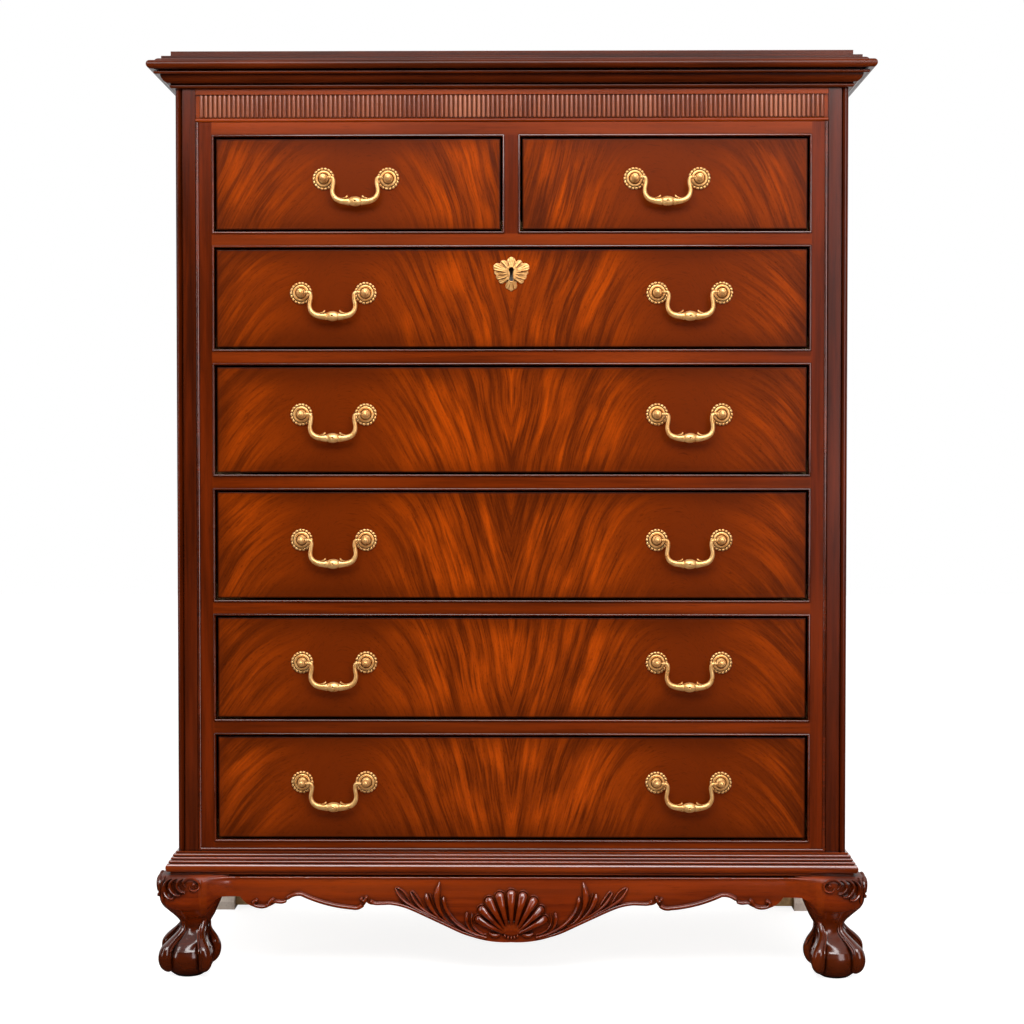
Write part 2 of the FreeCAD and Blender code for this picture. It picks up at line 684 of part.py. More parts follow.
def claw(angle):
    """One toe at an angle in plan: a tendon from the ankle, two knuckles and a talon."""
    r = CLAW_RADIUS
    out = CLAW_REACH
    mid = BALL_CENTRE_HEIGHT
    across = math.cos(angle)
    deep = math.sin(angle)
    ankle = ANKLE_INSET + ANKLE_SIZE / 2

    def place(radius, z):
        return V(HALF - FOOT_INSET + radius * across, FRONT_Y + FOOT_INSET + radius * deep, z)

    reach = 0.5 * ANKLE_SIZE - 0.3 * r
    start = V(HALF - ankle + reach * across, FRONT_Y + ankle + reach * deep, 0.93 * ANKLE_HEIGHT)
    end = place(0.88 * out, 0.25 * mid)
    arc = Part.Arc(start, place(0.9 * out, mid + 0.62 * BALL_HALF_HEIGHT), end).toShape()
    toward = arc.tangentAt(arc.FirstParameter)
    section = Part.Wire(Part.makeCircle(0.95 * r, start, toward))
    toe = Part.Wire(arc).makePipeShell([section], True, True)
    upper = Part.makeSphere(1.08 * r, place(0.88 * out, mid + 0.62 * BALL_HALF_HEIGHT))
    lower = Part.makeSphere(1.08 * r, place(out, mid - 0.05 * BALL_HALF_HEIGHT))
    talon = Part.makeCone(0.9 * r, 0.4 * r, 1.2 * r, end, V(-0.4 * across, -0.4 * deep, -1))
    return [toe, upper, lower, talon]


def ball():
    """Flattened ball: an arc profile turned about the foot's upright axis."""
    cx = HALF - FOOT_INSET
    cy = FRONT_Y + FOOT_INSET
    mid = BALL_CENTRE_HEIGHT
    top = mid + BALL_HALF_HEIGHT
    low = mid - BALL_HALF_HEIGHT
    shoulder = 0.72 * BALL_RADIUS
    rise = 0.70 * BALL_HALF_HEIGHT
    steps = [
        (0.2 * BALL_RADIUS, low),
        ((shoulder, mid - rise), (BALL_RADIUS, mid)),
        ((shoulder, mid + rise), (0.2 * BALL_RADIUS, top)),
        (0, top),
    ]
    half = outline(lambda r, z: V(cx + r, cy, z), (0, low), steps)
    return half.revolve(V(cx, cy, 0), UP, 360)


def front_leg():
    """Cabriole leg: a square block under the case, a bold knee, a thin ankle and the foot."""
    knee = LEG_HEIGHT - 0.6 * LEG_BLOCK_HEIGHT
    ankle_outer = -ANKLE_INSET
    ankle_inner = ankle_outer - ANKLE_SIZE
    fall = knee - ANKLE_HEIGHT
    swell = 0.08 * ANKLE_SIZE
    foot = 0.82 * BALL_RADIUS
    sections = [
        leg_section(-LEG_BLOCK, 0.8 * KNEE_OVERHANG, LEG_HEIGHT, 3.0),
        leg_section(-LEG_BLOCK, KNEE_OVERHANG, knee, 3.0),
        leg_section(-0.95 * LEG_BLOCK, 0.72 * KNEE_OVERHANG, knee - 0.46 * fall, 2.8),
        leg_section(ankle_inner - swell, swell, knee - 0.74 * fall, 2.5),
        leg_section(ankle_inner, ankle_outer, ANKLE_HEIGHT, 2.3),
        leg_section(ankle_inner, ankle_outer + swell, 0.8 * ANKLE_HEIGHT, 2.3),
        leg_section(-FOOT_INSET - foot, foot - FOOT_INSET, 0.6 * ANKLE_HEIGHT, 2.2),
    ]
    shank = Part.makeLoft(sections, True, False)
    inner = HALF - LEG_BLOCK
    block = box(inner, HALF, FRONT_Y, FRONT_Y + LEG_BLOCK, LEG_HEIGHT - LEG_BLOCK_HEIGHT, LEG_HEIGHT)
    pieces = [block, ball()]
    for quarter in range(4):
        pieces += claw(math.pi / 4 + quarter * math.pi / 2)
    room = box(inner, CASE_WIDTH, -CASE_WIDTH, FRONT_Y + LEG_BLOCK, 0, LEG_HEIGHT)
    leg = shank.fuse(pieces).common(room)
    solids = sorted(leg.Solids, key=lambda s: s.Volume)
    return solids[-1]


def foot_outline(place, length, pad, height):
    """Bracket foot seen flat on: an upright edge, a pad on the floor and a curved rise."""
    top = LEG_HEIGHT
    spring = top - height
    steps = [
        (0, 0), (pad, 0), (1.06 * pad, REAR_FOOT_NOSE),
        ((0.9 * pad, 0.55 * spring), (1.2 * pad, 0.86 * spring)),
        ((pad + 0.45 * (length - pad), 0.985 * spring), (length, spring)),
        (length, top),
    ]
    return outline(place, (0, top), steps)


def rear_foot():
    """Ogee side board and a plain back board of one bracket foot."""
    flare = REAR_FOOT_FLARE
    inner = HALF - REAR_FOOT_BOARD
    top = LEG_HEIGHT
    steps = [
        (inner, 0), (HALF + 0.85 * flare, 0),
        ((HALF + flare, 0.12 * top), (HALF + 0.5 * flare, 0.34 * top)),
        ((HALF + 0.1 * flare, 0.6 * top), (HALF + 0.4 * flare, 0.84 * top)),
        (HALF + 0.5 * flare, top),
    ]
    start_y = BACK_Y - REAR_FOOT_LENGTH
    ogee = outline(lambda x, z: V(x, start_y, z), (inner, top), steps)
    ogee = ogee.extrude(V(0, REAR_FOOT_LENGTH, 0))
    sizes = (REAR_FOOT_LENGTH, REAR_FOOT_PAD, BACK_RAIL_DROP)
    side = foot_outline(lambda u, z: V(inner, BACK_Y - u, z), *sizes)
    side = side.extrude(V(REAR_FOOT_BOARD + 2 * flare, 0, 0))
    back = foot_outline(lambda u, z: V(inner - u, BACK_Y, z), *sizes)
    back = back.extrude(V(0, -REAR_FOOT_BOARD, 0))
    return [ogee.common(side), back]


def side_apron():
    low = LEG_HEIGHT - BACK_RAIL_DROP
    inner = HALF - REAR_FOOT_BOARD
    return box(inner, HALF, FRONT_Y + LEG_BLOCK, BACK_Y - REAR_FOOT_LENGTH, low, LEG_HEIGHT)


def back_rail():
    half = HALF - REAR_FOOT_BOARD - REAR_FOOT_LENGTH
    low = LEG_HEIGHT - BACK_RAIL_DROP
    return box(-half, half, BACK_Y - REAR_FOOT_BOARD, BACK_Y, low, LEG_HEIGHT)


def glue_blocks():
    """Square blocks in the inner corners, behind the front legs and inside the rear feet."""
    outer = HALF - REAR_FOOT_BOARD
    rear = BACK_Y - REAR_FOOT_BOARD
    size = GLUE_BLOCK
    at_rear = box(outer - size, outer, rear - size, rear, GLUE_BLOCK_LIFT, LEG_HEIGHT)
    inside_leg = HALF - LEG_BLOCK
    apron_back = FRONT_Y - APRON_PROUD + APRON_THICKNESS
    low = LEG_HEIGHT - LEG_BLOCK_HEIGHT
    at_front = box(inside_leg - size, inside_leg, apron_back, apron_back + size, low, LEG_HEIGHT)
    return both_sides(at_rear) + both_sides(at_front)


# ---- front apron and its carving ----------------------------------------------------------
# Along the scalloped lower edge: share of the way in from the leg block to where the edge
# falls to the shell, and drop below the case.
SCALLOPS = [
    (0.107, 35.4), ((0.229, 52.9), (0.316, 45.4)), (0.372, 45.4), ((0.407, 36.9), (0.47, 33.9)),
    ((0.648, 49.4), (0.771, 54.1)), ((0.826, 51.9), (0.854, 43.8)), ((0.874, 46.9), (0.891, 47.7)),
]
# Distance out from the middle, and drop below the case, where the edge falls to the shell.
SHELL_FALL = [
    (180.0, 47.1), ((150.0, 54.4), (116.0, 70.2)), (76.0, 89.4), ((40.0, 101.1), (0.0, 103.9)),
]


def mapped(step, change):
    """Apply a change of coordinates to a line step or to both points of an arc step."""
    if isinstance(step[0], tuple):
        return (change(*step[0]), change(*step[1]))
    return change(*step)


def lower_edge(lift):
    """Steps of the apron's lower edge, from the right leg to the left, raised by lift."""
    leg = HALF - LEG_BLOCK
    run = leg - SHELL_FALL[0][0]
    right = [mapped(s, lambda share, drop: (leg - share * run, LEG_HEIGHT - drop + lift)) for s in SCALLOPS]
    right += [mapped(s, lambda x, drop: (x, LEG_HEIGHT - drop + lift)) for s in SHELL_FALL]
    start = (leg, LEG_HEIGHT - LEG_BLOCK_HEIGHT + lift)
    ends = [start] + [s[1] if isinstance(s[0], tuple) else s for s in right]
    left = []
    for step, before in reversed(list(zip(right, ends))):
        back = (-before[0], before[1])
        if isinstance(step[0], tuple):
            left.append(((-step[0][0], step[0][1]), back))
        else:
            left.append(back)
    return start, right + left


def front_apron():
    """Scalloped board with a raised bead along its lower edge."""
    y = FRONT_Y - APRON_PROUD
    leg = HALF - LEG_BLOCK

    def place(x, z):
        return V(x, y, z)

    start, edge = lower_edge(0.0)
    board = outline(place, (leg, LEG_HEIGHT), [start] + edge + [(-leg, LEG_HEIGHT)])
    board = board.extrude(V(0, APRON_THICKNESS, 0))
    raised_start, raised = lower_edge(EDGE_BEAD)
    upper = outline(place, (leg, LEG_HEIGHT), [raised_start] + raised + [(-leg, LEG_HEIGHT)])
    upper = upper.extrude(V(0, -EDGE_BEAD_PROUD, 0))
    band = outline(place, (leg, LEG_HEIGHT), [start] + edge + [(-leg, LEG_HEIGHT)])
    band = band.extrude(V(0, -EDGE_BEAD_PROUD, 0)).cut(upper)
    return board.fuse(band)


def carved_shell():
    """Fan of round lobes from one hub, as a relief on the apron's face."""
    y = FRONT_Y - APRON_PROUD
    hub = V(0, y, SHELL_BASE_HEIGHT)
    lobes = []
    step = math.radians(16.0)
    for n in range(-5, 6):
        angle = n * step
        length = SHELL_LENGTH - 3.2 * abs(n) - SHELL_RISE
        along = V(math.sin(angle), 0, math.cos(angle))
        lobes.append(Part.makeCone(2.5, SHELL_RISE, length, hub, along))
        lobes.append(Part.makeSphere(SHELL_RISE * 1.03, hub + along * length))
    button = Part.makeSphere(0.9 * SHELL_RISE, hub)
    shell = button.fuse(lobes)
    reach = 2 * SHELL_LENGTH
    front_half = box(-reach, reach, y - reach, y, -reach, LEG_HEIGHT)
    return shell.common(front_half)


# Tip and root of each leaf of a spray: distance out from the middle, and height.
LEAVES = [
    ((66.0, 97.0), (60.0, 72.0), 5.0), ((99.0, 121.0), (68.0, 74.0), 7.0),
    ((106.0, 140.0), (86.0, 82.0), 8.0), ((124.0, 124.0), (94.0, 84.0), 7.0),
    ((148.0, 127.0), (106.0, 92.0), 7.0), ((172.0, 133.0), (120.0, 98.0), 8.0),
]


def leaf(tip, root, width, y):
    """Pointed leaf between two arcs, raised above the apron's face."""
    across = (root[1] - tip[1], tip[0] - root[0])
    length = math.hypot(*across)
    middle = ((tip[0] + root[0]) / 2, (tip[1] + root[1]) / 2)
    one = (middle[0] + across[0] / length * width, middle[1] + across[1] / length * width)
    two = (middle[0] - 0.3 * across[0] / length * width, middle[1] - 0.3 * across[1] / length * width)
    blade = outline(lambda px, pz: V(px, y, pz), root, [(one, tip), (two, root)])
    return blade.extrude(V(0, -LEAF_RELIEF, 0))


def leaf_spray():
    """Overlapping leaves of one side, joined into one carved piece."""
    y = FRONT_Y - APRON_PROUD
    blades = [leaf(tip, root, width, y) for tip, root, width in LEAVES]
    return blades[0].fuse(blades[1:])


def apron_carving(apron):
    """Shell and both sprays, trimmed where they meet the bead along the apron's edge."""
    shell = carved_shell().cut(apron)
    spray = leaf_spray().cut(apron).cut(shell)
    return shell.Solids + spray.Solids + mirrored(spray).Solids


# ---- write every node -----------------------------------------------------------------------
def main():
    os.makedirs("parts", exist_ok=True)
    export("side_panels", both_sides(side_panel()))
    export("corner_posts", both_sides(corner_post()))
    export("face_stiles", both_sides(face_stile()))
    export("drawer_rails", drawer_rails())
    export("centre_muntin", [centre_muntin()])
    export("frame_bead", frame_bead())
    export("cock_beads", cock_beads())
    export("frieze_board", [frieze_board()])
    export("frieze_reeding", [frieze_reeding()])
    export("cornice_moulding", cornice_moulding())
    export("top_board", [top_board()])
    export("back_panel", [back_panel()])
    export("bottom_board", [bottom_board()])
    export("base_moulding", base_moulding())
    export("drawer_runners", drawer_runners() + drawer_guides())
    export("dust_panels", dust_panels())
    leg = front_leg()
    export("leg_front_left", [mirrored(leg)])
    export("leg_front_right", [leg])
    foot = rear_foot()
    export("rear_feet", [mirrored(s) for s in foot] + foot)
    export("side_aprons", both_sides(side_apron()))
    export("back_rail", [back_rail()])
    export("glue_blocks", glue_blocks())
    apron = front_apron()
    export("front_apron", [apron])
    export("apron_carving", apron_carving(apron))
    export("escutcheon", [escutcheon()])
    export("lock_case", [lock_case()])
    export("lock_bolt", [lock_bolt()])
    for name, row, left, right, handles in drawer_places():
        export("front_" + name, [drawer_front(row, left, right, handles)])
        export("box_" + name, drawer_box(row, left, right))
        export("posts_" + name, handle_posts(row, handles))
        for centre in handles:
            ending = ""
            if len(handles) > 1:
                ending = "_left" if centre < 0 else "_right"
            export("bail_" + name + ending, [bail(centre, handle_height(row))])


main()
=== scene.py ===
import math

import bpy
import numpy as np
from mathutils import Euler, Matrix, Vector

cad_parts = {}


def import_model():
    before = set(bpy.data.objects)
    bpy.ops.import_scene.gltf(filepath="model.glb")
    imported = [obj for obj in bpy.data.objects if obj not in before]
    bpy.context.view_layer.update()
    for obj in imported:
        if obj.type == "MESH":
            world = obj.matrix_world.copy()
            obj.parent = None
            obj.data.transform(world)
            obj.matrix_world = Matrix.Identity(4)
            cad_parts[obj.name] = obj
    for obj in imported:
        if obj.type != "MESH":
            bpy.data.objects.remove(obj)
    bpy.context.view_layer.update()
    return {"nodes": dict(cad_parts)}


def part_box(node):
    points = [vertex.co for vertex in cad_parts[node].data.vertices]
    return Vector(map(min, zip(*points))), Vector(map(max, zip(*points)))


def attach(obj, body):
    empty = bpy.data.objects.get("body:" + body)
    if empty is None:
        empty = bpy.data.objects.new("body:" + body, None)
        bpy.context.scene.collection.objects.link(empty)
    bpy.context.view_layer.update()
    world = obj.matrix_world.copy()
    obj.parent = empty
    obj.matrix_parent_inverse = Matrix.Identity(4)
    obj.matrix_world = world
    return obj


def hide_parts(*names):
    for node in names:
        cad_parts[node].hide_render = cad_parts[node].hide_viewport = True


# Dressing of a tall mahogany chest: mouldings, reeds, beads, carving, brass and finishes.
# Metres, +Z up, the front faces -Y.

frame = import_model()

# ---- places taken from the frame -------------------------------------------------------
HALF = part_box("side_panels")[1][0]
BACK_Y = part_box("side_panels")[1][1]
FRONT_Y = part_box("face_stiles")[0][1]
STILE_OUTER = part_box("face_stiles")[1][0]
FACE_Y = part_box("front_long_1")[0][1]
CORNICE_LOW, CORNICE_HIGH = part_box("cornice_moulding")
BASE_LOW, BASE_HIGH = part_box("base_moulding")
REEDS_LOW, REEDS_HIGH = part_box("frieze_reeding")
POSTS_LOW, POSTS_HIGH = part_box("corner_posts")

# ---- sizes of the finish work ------------------------------------------------------------
MM = 0.001                    # the tables of stations below are in millimetres
CORNER_BEAD = 0.0052          # radius of the bead worked on each corner post
QUIRK = 0.0018
FRAME_BEAD = 0.005            # width of the half-round bead round the face frame
DRAWER_GAP = 0.0032
COCK_BEAD = 0.003
COCK_BEAD_PROUD = 0.0025
COCK_BEAD_DEPTH = 0.0085
REED_PITCH = 0.00688
REED_GAP = 0.0012
EASED_EDGE = 0.0004           # radius left by sanding on a crisp edge
EASED_FRONT = 0.0008          # and on the veneered edge of a drawer front
DRAWERS = ("short_left", "short_right", "long_1", "long_2", "long_3", "long_4", "long_5")


# ==== meshes ==============================================================================
def grid_faces(rows, columns, wrap_rows=False, wrap_columns=False):
    """Quads of a grid of points stored row after row."""
    last_row = rows if wrap_rows else rows - 1
    last_column = columns if wrap_columns else columns - 1
    r, c = np.meshgrid(np.arange(last_row), np.arange(last_column), indexing="ij")
    r2 = (r + 1) % rows
    c2 = (c + 1) % columns
    quads = np.stack([r * columns + c, r * columns + c2, r2 * columns + c2, r2 * columns + c], axis=-1)
    return quads.reshape(-1, 4)


def shell(points, wrap_rows=False, wrap_columns=False, caps="", flip=False):
    """A grid of points as one part: (points, [arrays of faces]).

    caps holds "first" and "last" where the end row of a wrapped grid is closed by a flat
    face, and "pole_first" and "pole_last" where it is closed by triangles to its middle."""
    rows, columns = points.shape[:2]
    flat = points.reshape(-1, 3)
    faces = [grid_faces(rows, columns, wrap_rows, wrap_columns)]
    ring = np.arange(columns)
    ends = (("first", points[0], ring[::-1]), ("last", points[-1], ring + (rows - 1) * columns))
    for end, row, edge in ends:
        if "pole_" + end in caps:
            flat = np.vstack([flat, row.mean(axis=0)])
            tip = np.full(columns, len(flat) - 1)
            faces.append(np.stack([edge, np.roll(edge, -1), tip], axis=-1))
        elif end in caps:
            faces.append(edge[None, :])
    if flip:
        faces = [f[:, ::-1] for f in faces]
    return flat, faces


def closed_shell(points, flip=False):
    """A tube of ringed rows with a pole at each end."""
    return shell(points, wrap_columns=True, caps="pole_first pole_last", flip=flip)


def bar(points, flip=False):
    """A tube of ringed rows with a flat face at each end."""
    return shell(points, wrap_columns=True, caps="first last", flip=flip)


def stations(*places):
    """Rows of a grid, each given as its arrays of x, y and z."""
    return np.stack([np.stack(place, axis=-1) for place in places])


def joined(parts):
    """Several parts as one."""
    points = []
    faces = []
    count = 0
    for part_points, part_faces in parts:
        points.append(part_points)
        faces += [f + count for f in part_faces]
        count += len(part_points)
    return np.vstack(points), faces


def mirrored(part):
    """The same part on the chest's other side."""
    points, faces = part
    return points * (-1.0, 1.0, 1.0), [f[:, ::-1] for f in faces]


def new_object(name, part, material, crease):
    """A mesh object from one part, smooth except at edges sharper than crease degrees."""
    points, faces = part
    mesh = bpy.data.meshes.new(name)
    mesh.vertices.add(len(points))
    mesh.vertices.foreach_set("co", np.ascontiguousarray(points, dtype=np.float32).ravel())
    totals = np.concatenate([np.full(len(f), f.shape[1]) for f in faces])
    corners = np.concatenate([f.ravel() for f in faces])
    mesh.loops.add(len(corners))
    mesh.loops.foreach_set("vertex_index", corners.astype(np.int32))
    mesh.polygons.add(len(totals))
    mesh.polygons.foreach_set("loop_start", (np.cumsum(totals) - totals).astype(np.int32))
    mesh.polygons.foreach_set("loop_total", totals.astype(np.int32))
    mesh.polygons.foreach_set("use_smooth", np.ones(len(totals), dtype=bool))
    mesh.update(calc_edges=True)
    mesh.validate()
    mesh.set_sharp_from_angle(angle=math.radians(crease))
    mesh.materials.append(material)
    thing = bpy.data.objects.new(name, mesh)
    bpy.context.scene.collection.objects.link(thing)
    return thing


def piece(name, part, body, material, stands_for, crease=32.0):
    """A visible piece that rides on a body and stands for CAD nodes."""
    thing = new_object(name, part, material, crease)
    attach(thing, body)
    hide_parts(*stands_for)
    return thing


def case_piece(name, part, material, node, crease=32.0):
    """A piece of the case itself, in place of one node."""
    return piece(name, part, "carcass", material, [node], crease)


def eased(thing, width=EASED_EDGE):
    """Rounds the crisp edges a little, as sanding and polish do."""
    bevel = thing.modifiers.new("eased edges", "BEVEL")
    bevel.width = width
    bevel.segments = 2
    bevel.limit_method = "ANGLE"
    bevel.angle_limit = math.radians(35.0)
    return thing


def arc_points(start, via, end, steps):
    """Points after start on the circle through three points, up to end."""
    a, b, c = (complex(*p) for p in (start, via, end))
    w = (c - a) / (b - a)
    centre = a - (a - b) * (w - abs(w) ** 2) / (2j * w.imag)
    first, middle, last = (np.angle(p - centre) for p in (a, b, c))
    middle = (middle - first) % (2 * np.pi)
    last = (last - first) % (2 * np.pi)
    if middle > last:
        last -= 2 * np.pi
    spots = centre + abs(a - centre) * np.exp(1j * (first + last * np.arange(1, steps + 1) / steps))
    return np.stack([spots.real, spots.imag], axis=-1)


def outline(start, steps, arc_steps=10):
    """Line of points: a step is an end point, or (point passed through, end point) for an arc."""
    points = [np.array([start])]
    here = start
    for step in steps:
        if isinstance(step[0], tuple):
            points.append(arc_points(here, *step, arc_steps))
            here = step[1]
        else:
            points.append(np.array([step]))
            here = step
    return np.vstack(points)


# ==== mouldings ===========================================================================
def round_three_sides(profile):
    """Carries a profile of (distance out, height) round both sides and the front, mitred.

    Each profile point is pushed out by its own distance at four stations: back left, front
    left, front right, back right."""
    out, level = profile.T
    back = np.full_like(out, BACK_Y)
    front = FRONT_Y - out
    left = -HALF - out
    right = HALF + out
    rows = stations((left, back, level), (left, front, level), (right, front, level), (right, back, level))
    return bar(rows, flip=True)


def in_shares(low, high):
    """Function that turns shares of a moulding's overhang and height into a profile point."""
    def at(reach, level):
        return (reach * (high[0] - HALF), low[2] + level * (high[2] - low[2]))

    return at


def cornice_profile():
    """Small bead, ovolo, second bead, bold nose and ogee, in shares of overhang and height."""
    at = in_shares(CORNICE_LOW, CORNICE_HIGH)
    return outline(at(0, 0), [
        at(0.10, 0), (at(0.19, 0.066), at(0.10, 0.132)), at(0.15, 0.132),
        (at(0.40, 0.215), at(0.51, 0.39)), at(0.64, 0.39), (at(0.74, 0.44), at(0.64, 0.49)),
        at(0.56, 0.49), at(0.56, 0.53), at(0.88, 0.53), (at(1.0, 0.665), at(0.88, 0.80)),
        at(0.72, 0.80), (at(0.62, 0.89), at(0.47, 0.912)), at(0.47, 1.0), at(0, 1.0),
    ])


def base_profile():
    """Bold torus with three small beads stepping back above it, and a fillet at the top."""
    at = in_shares(BASE_LOW, BASE_HIGH)
    return outline(at(0, 0), [
        at(0.62, 0), at(0.62, 0.121), at(0.84, 0.121), (at(1.0, 0.303), at(0.84, 0.485)),
        at(0.66, 0.485), (at(0.76, 0.555), at(0.66, 0.624)), at(0.48, 0.624),
        (at(0.58, 0.694), at(0.48, 0.764)), at(0.34, 0.764), (at(0.42, 0.833), at(0.34, 0.903)),
        at(0.18, 0.903), at(0.18, 1.0), at(0, 1.0),
    ])


def corner_post(side):
    """The post's plan carried straight up: a bead on the outer corner between two quirks."""
    r = CORNER_BEAD
    bead = 2 * r
    x = HALF
    y = FRONT_Y
    back = POSTS_HIGH[1]
    inner = STILE_OUTER + QUIRK / 2
    plan = outline((x, back), [
        (x, y + bead + QUIRK), (x - QUIRK, y + bead + QUIRK), (x - QUIRK, y + bead),
        (x - r, y + bead), ((x, y + r), (x - r, y)), (x - bead, y + r), (x - bead, y + QUIRK),
        (x - bead - QUIRK, y + QUIRK), (x - bead - QUIRK, y), (inner, y), (inner, y + QUIRK),
        (STILE_OUTER, y + QUIRK), (STILE_OUTER, back),
    ], arc_steps=24)
    ends = [(side * plan[:, 0], plan[:, 1], np.full(len(plan), z)) for z in (POSTS_LOW[2], POSTS_HIGH[2])]
    return bar(stations(*ends), flip=side > 0)


def bead_round(x0, x1, z0, z1, profile):
    """Carries a profile of (distance out from the opening, depth) round a rectangle, mitred."""
    out, deep = profile.T
    left = x0 - out
    right = x1 + out
    foot = z0 - out
    top = z1 + out
    rows = stations((left, deep, foot), (right, deep, foot), (right, deep, top), (left, deep, top))
    return shell(rows, wrap_rows=True, wrap_columns=True)


def cock_bead_profile():
    """Thin strip with a round nose standing proud of the rails."""
    r = COCK_BEAD / 2
    nose = FRONT_Y - COCK_BEAD_PROUD
    back = nose + COCK_BEAD_DEPTH
    return outline((0.0, back), [(0.0, nose + r), ((r, nose), (COCK_BEAD, nose + r)), (COCK_BEAD, back)])


def cock_beads():
    """One bead round each drawer's opening."""
    g = DRAWER_GAP
    frames = []
    for name in DRAWERS:
        low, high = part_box("front_" + name)
        frames.append(bead_round(low[0] - g, high[0] + g, low[2] - g, high[2] + g, cock_bead_profile()))
    return joined(frames)


def frame_bead():
    """Half-round bead down both stiles and along the foot of the face frame, mitred."""
    r = FRAME_BEAD / 2
    low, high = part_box("frame_bead")
    angles = np.linspace(0, np.pi, 13)
    across = r - r * np.cos(angles)
    deep = FRONT_Y - r * np.sin(angles)
    top = np.full_like(across, high[2])
    inner = STILE_OUTER - across
    foot = low[2] + across
    rows = stations((-inner, deep, top), (-inner, deep, foot), (inner, deep, foot), (inner, deep, top))
    return bar(rows, flip=True)


def reeds():
    """Upright half-round reeds with rounded ends: one reed worked out, then set side by side.

    Over the width a reed is a half circle, and near each end it falls away as a quarter
    circle of the same radius."""
    r = (REED_PITCH - REED_GAP) / 2
    turn = np.linspace(0.25, np.pi / 2, 5)
    fall = r - r * np.cos(turn)
    level = np.concatenate([REEDS_LOW[2] + fall, REEDS_HIGH[2] - fall[::-1]])
    swell = np.concatenate([np.sin(turn), np.sin(turn[::-1])])[:, None]
    across = np.linspace(0, np.pi, 9)[None, :]
    ground = REEDS_HIGH[1]
    x = -r * np.cos(across) * swell
    y = ground - (ground - REEDS_LOW[1]) * np.sin(across) * swell ** 0.6
    z = np.broadcast_to(level[:, None], x.shape)
    one, faces = bar(np.stack([x, y, z], axis=-1))
    count = int(round((REEDS_HIGH[0] - REEDS_LOW[0]) / REED_PITCH))
    places = (np.arange(count) - (count - 1) / 2) * REED_PITCH
    many = one[None] + np.column_stack([places, np.zeros(count), np.zeros(count)])[:, None, :]
    shift = (np.arange(count) * len(one))[:, None, None]
    return many.reshape(-1, 3), [(f[None] + shift).reshape(-1, f.shape[1]) for f in faces]


# ==== curves, tubes and ridges ============================================================
def catmull_rom(a, b, c, d, t):
    """Smooth curve from b to c, a share t of the way, where a and d are the points beyond."""
    return b + 0.5 * ((c - a) * t + (2 * a - 5 * b + 4 * c - d) * t ** 2 + (3 * b - a - 3 * c + d) * t ** 3)


def through(points, steps=8):
    """Smooth curve through the points, with extra columns carried along."""
    p = np.asarray(points, dtype=float)
    p = np.vstack([2 * p[0] - p[1], p, 2 * p[-1] - p[-2]])
    t = (np.arange(steps) / steps)[None, :, None]
    curve = catmull_rom(*(p[i:len(p) - 3 + i][:, None, :] for i in range(4)), t)
    return np.vstack([curve.reshape(-1, p.shape[1]), p[-2]])


def unit(v):
    """Vectors made 1 long."""
    return v / np.linalg.norm(v, axis=-1, keepdims=True)


def around(count):
    """Angles of a full turn in equal steps."""
    return 2 * np.pi * np.arange(count) / count


def smooth_share(t):
    """3t^2 - 2t^3, kept between 0 and 1."""
    t = np.clip(t, 0, 1)
    return 3 * t ** 2 - 2 * t ** 3


def hump(x, middle, width):
    """Bell curve exp(-((x - middle) / width)^2)."""
    return np.exp(-((x - middle) / width) ** 2)


def tube(path, across, deep, up, sides=16, square=2.0):
    """Closed tube: round each point of the path an oval with half-width across and
    half-depth deep, the depth measured along up; square above 2 flattens its sides."""
    toward = unit(np.gradient(path, axis=0))
    side = unit(np.cross(up, toward))
    height = np.cross(toward, side)
    c = np.cos(around(sides))[None, :]
    s = np.sin(around(sides))[None, :]
    power = np.broadcast_to(square, (len(path),))[:, None]
    reach = (np.abs(c) ** power + np.abs(s) ** power) ** (-1 / power)
    wide = (across[:, None] * reach * c)[..., None] * side[:, None, :]
    tall = (deep[:, None] * reach * s)[..., None] * height[:, None, :]
    return closed_shell(path[:, None, :] + wide + tall)


def ridge(line, surface, steps=7, sides=12, square=2.0):
    """Carved ridge that lies on a surface: a tube half sunk into it.

    line holds (first place, second place, half-width, height) and surface gives the point
    of the surface for the two places."""
    first, second, across, height = through(line, steps).T
    tiny = 1e-4
    thinnest = 2e-4
    path = surface(first, second)
    up = unit(np.cross(surface(first + tiny, second) - path, surface(first, second + tiny) - path))
    return tube(path, np.maximum(across, thinnest), np.maximum(height, thinnest), up, sides, square)


def egg(place, radii, turn, sides, bulge=1.0):
    """Egg with half-widths radii along the three axes and its poles to front and back.

    turn holds the angle of each ring from the front pole, and bulge scales its depth."""
    turn = turn[:, None]
    round_ = around(sides)[None, :]
    x = radii[0] * np.sin(turn) * np.cos(round_)
    y = -radii[1] * np.cos(turn) * bulge + 0 * round_
    z = radii[2] * np.sin(turn) * np.sin(round_)
    return closed_shell(np.stack([x, y, z], axis=-1) + np.asarray(place), flip=True)


def knob(place, radii, sides=20):
    """Plain egg-shaped knob."""
    return egg(place, radii, np.linspace(0, np.pi, 13)[1:-1], sides)


def block(low, high):
    """Plain block between two corners."""
    x = np.array([low[0], high[0], high[0], low[0]])
    y = np.array([low[1], low[1], high[1], high[1]])
    return bar(stations((x, y, np.full(4, low[2])), (x, y, np.full(4, high[2]))))


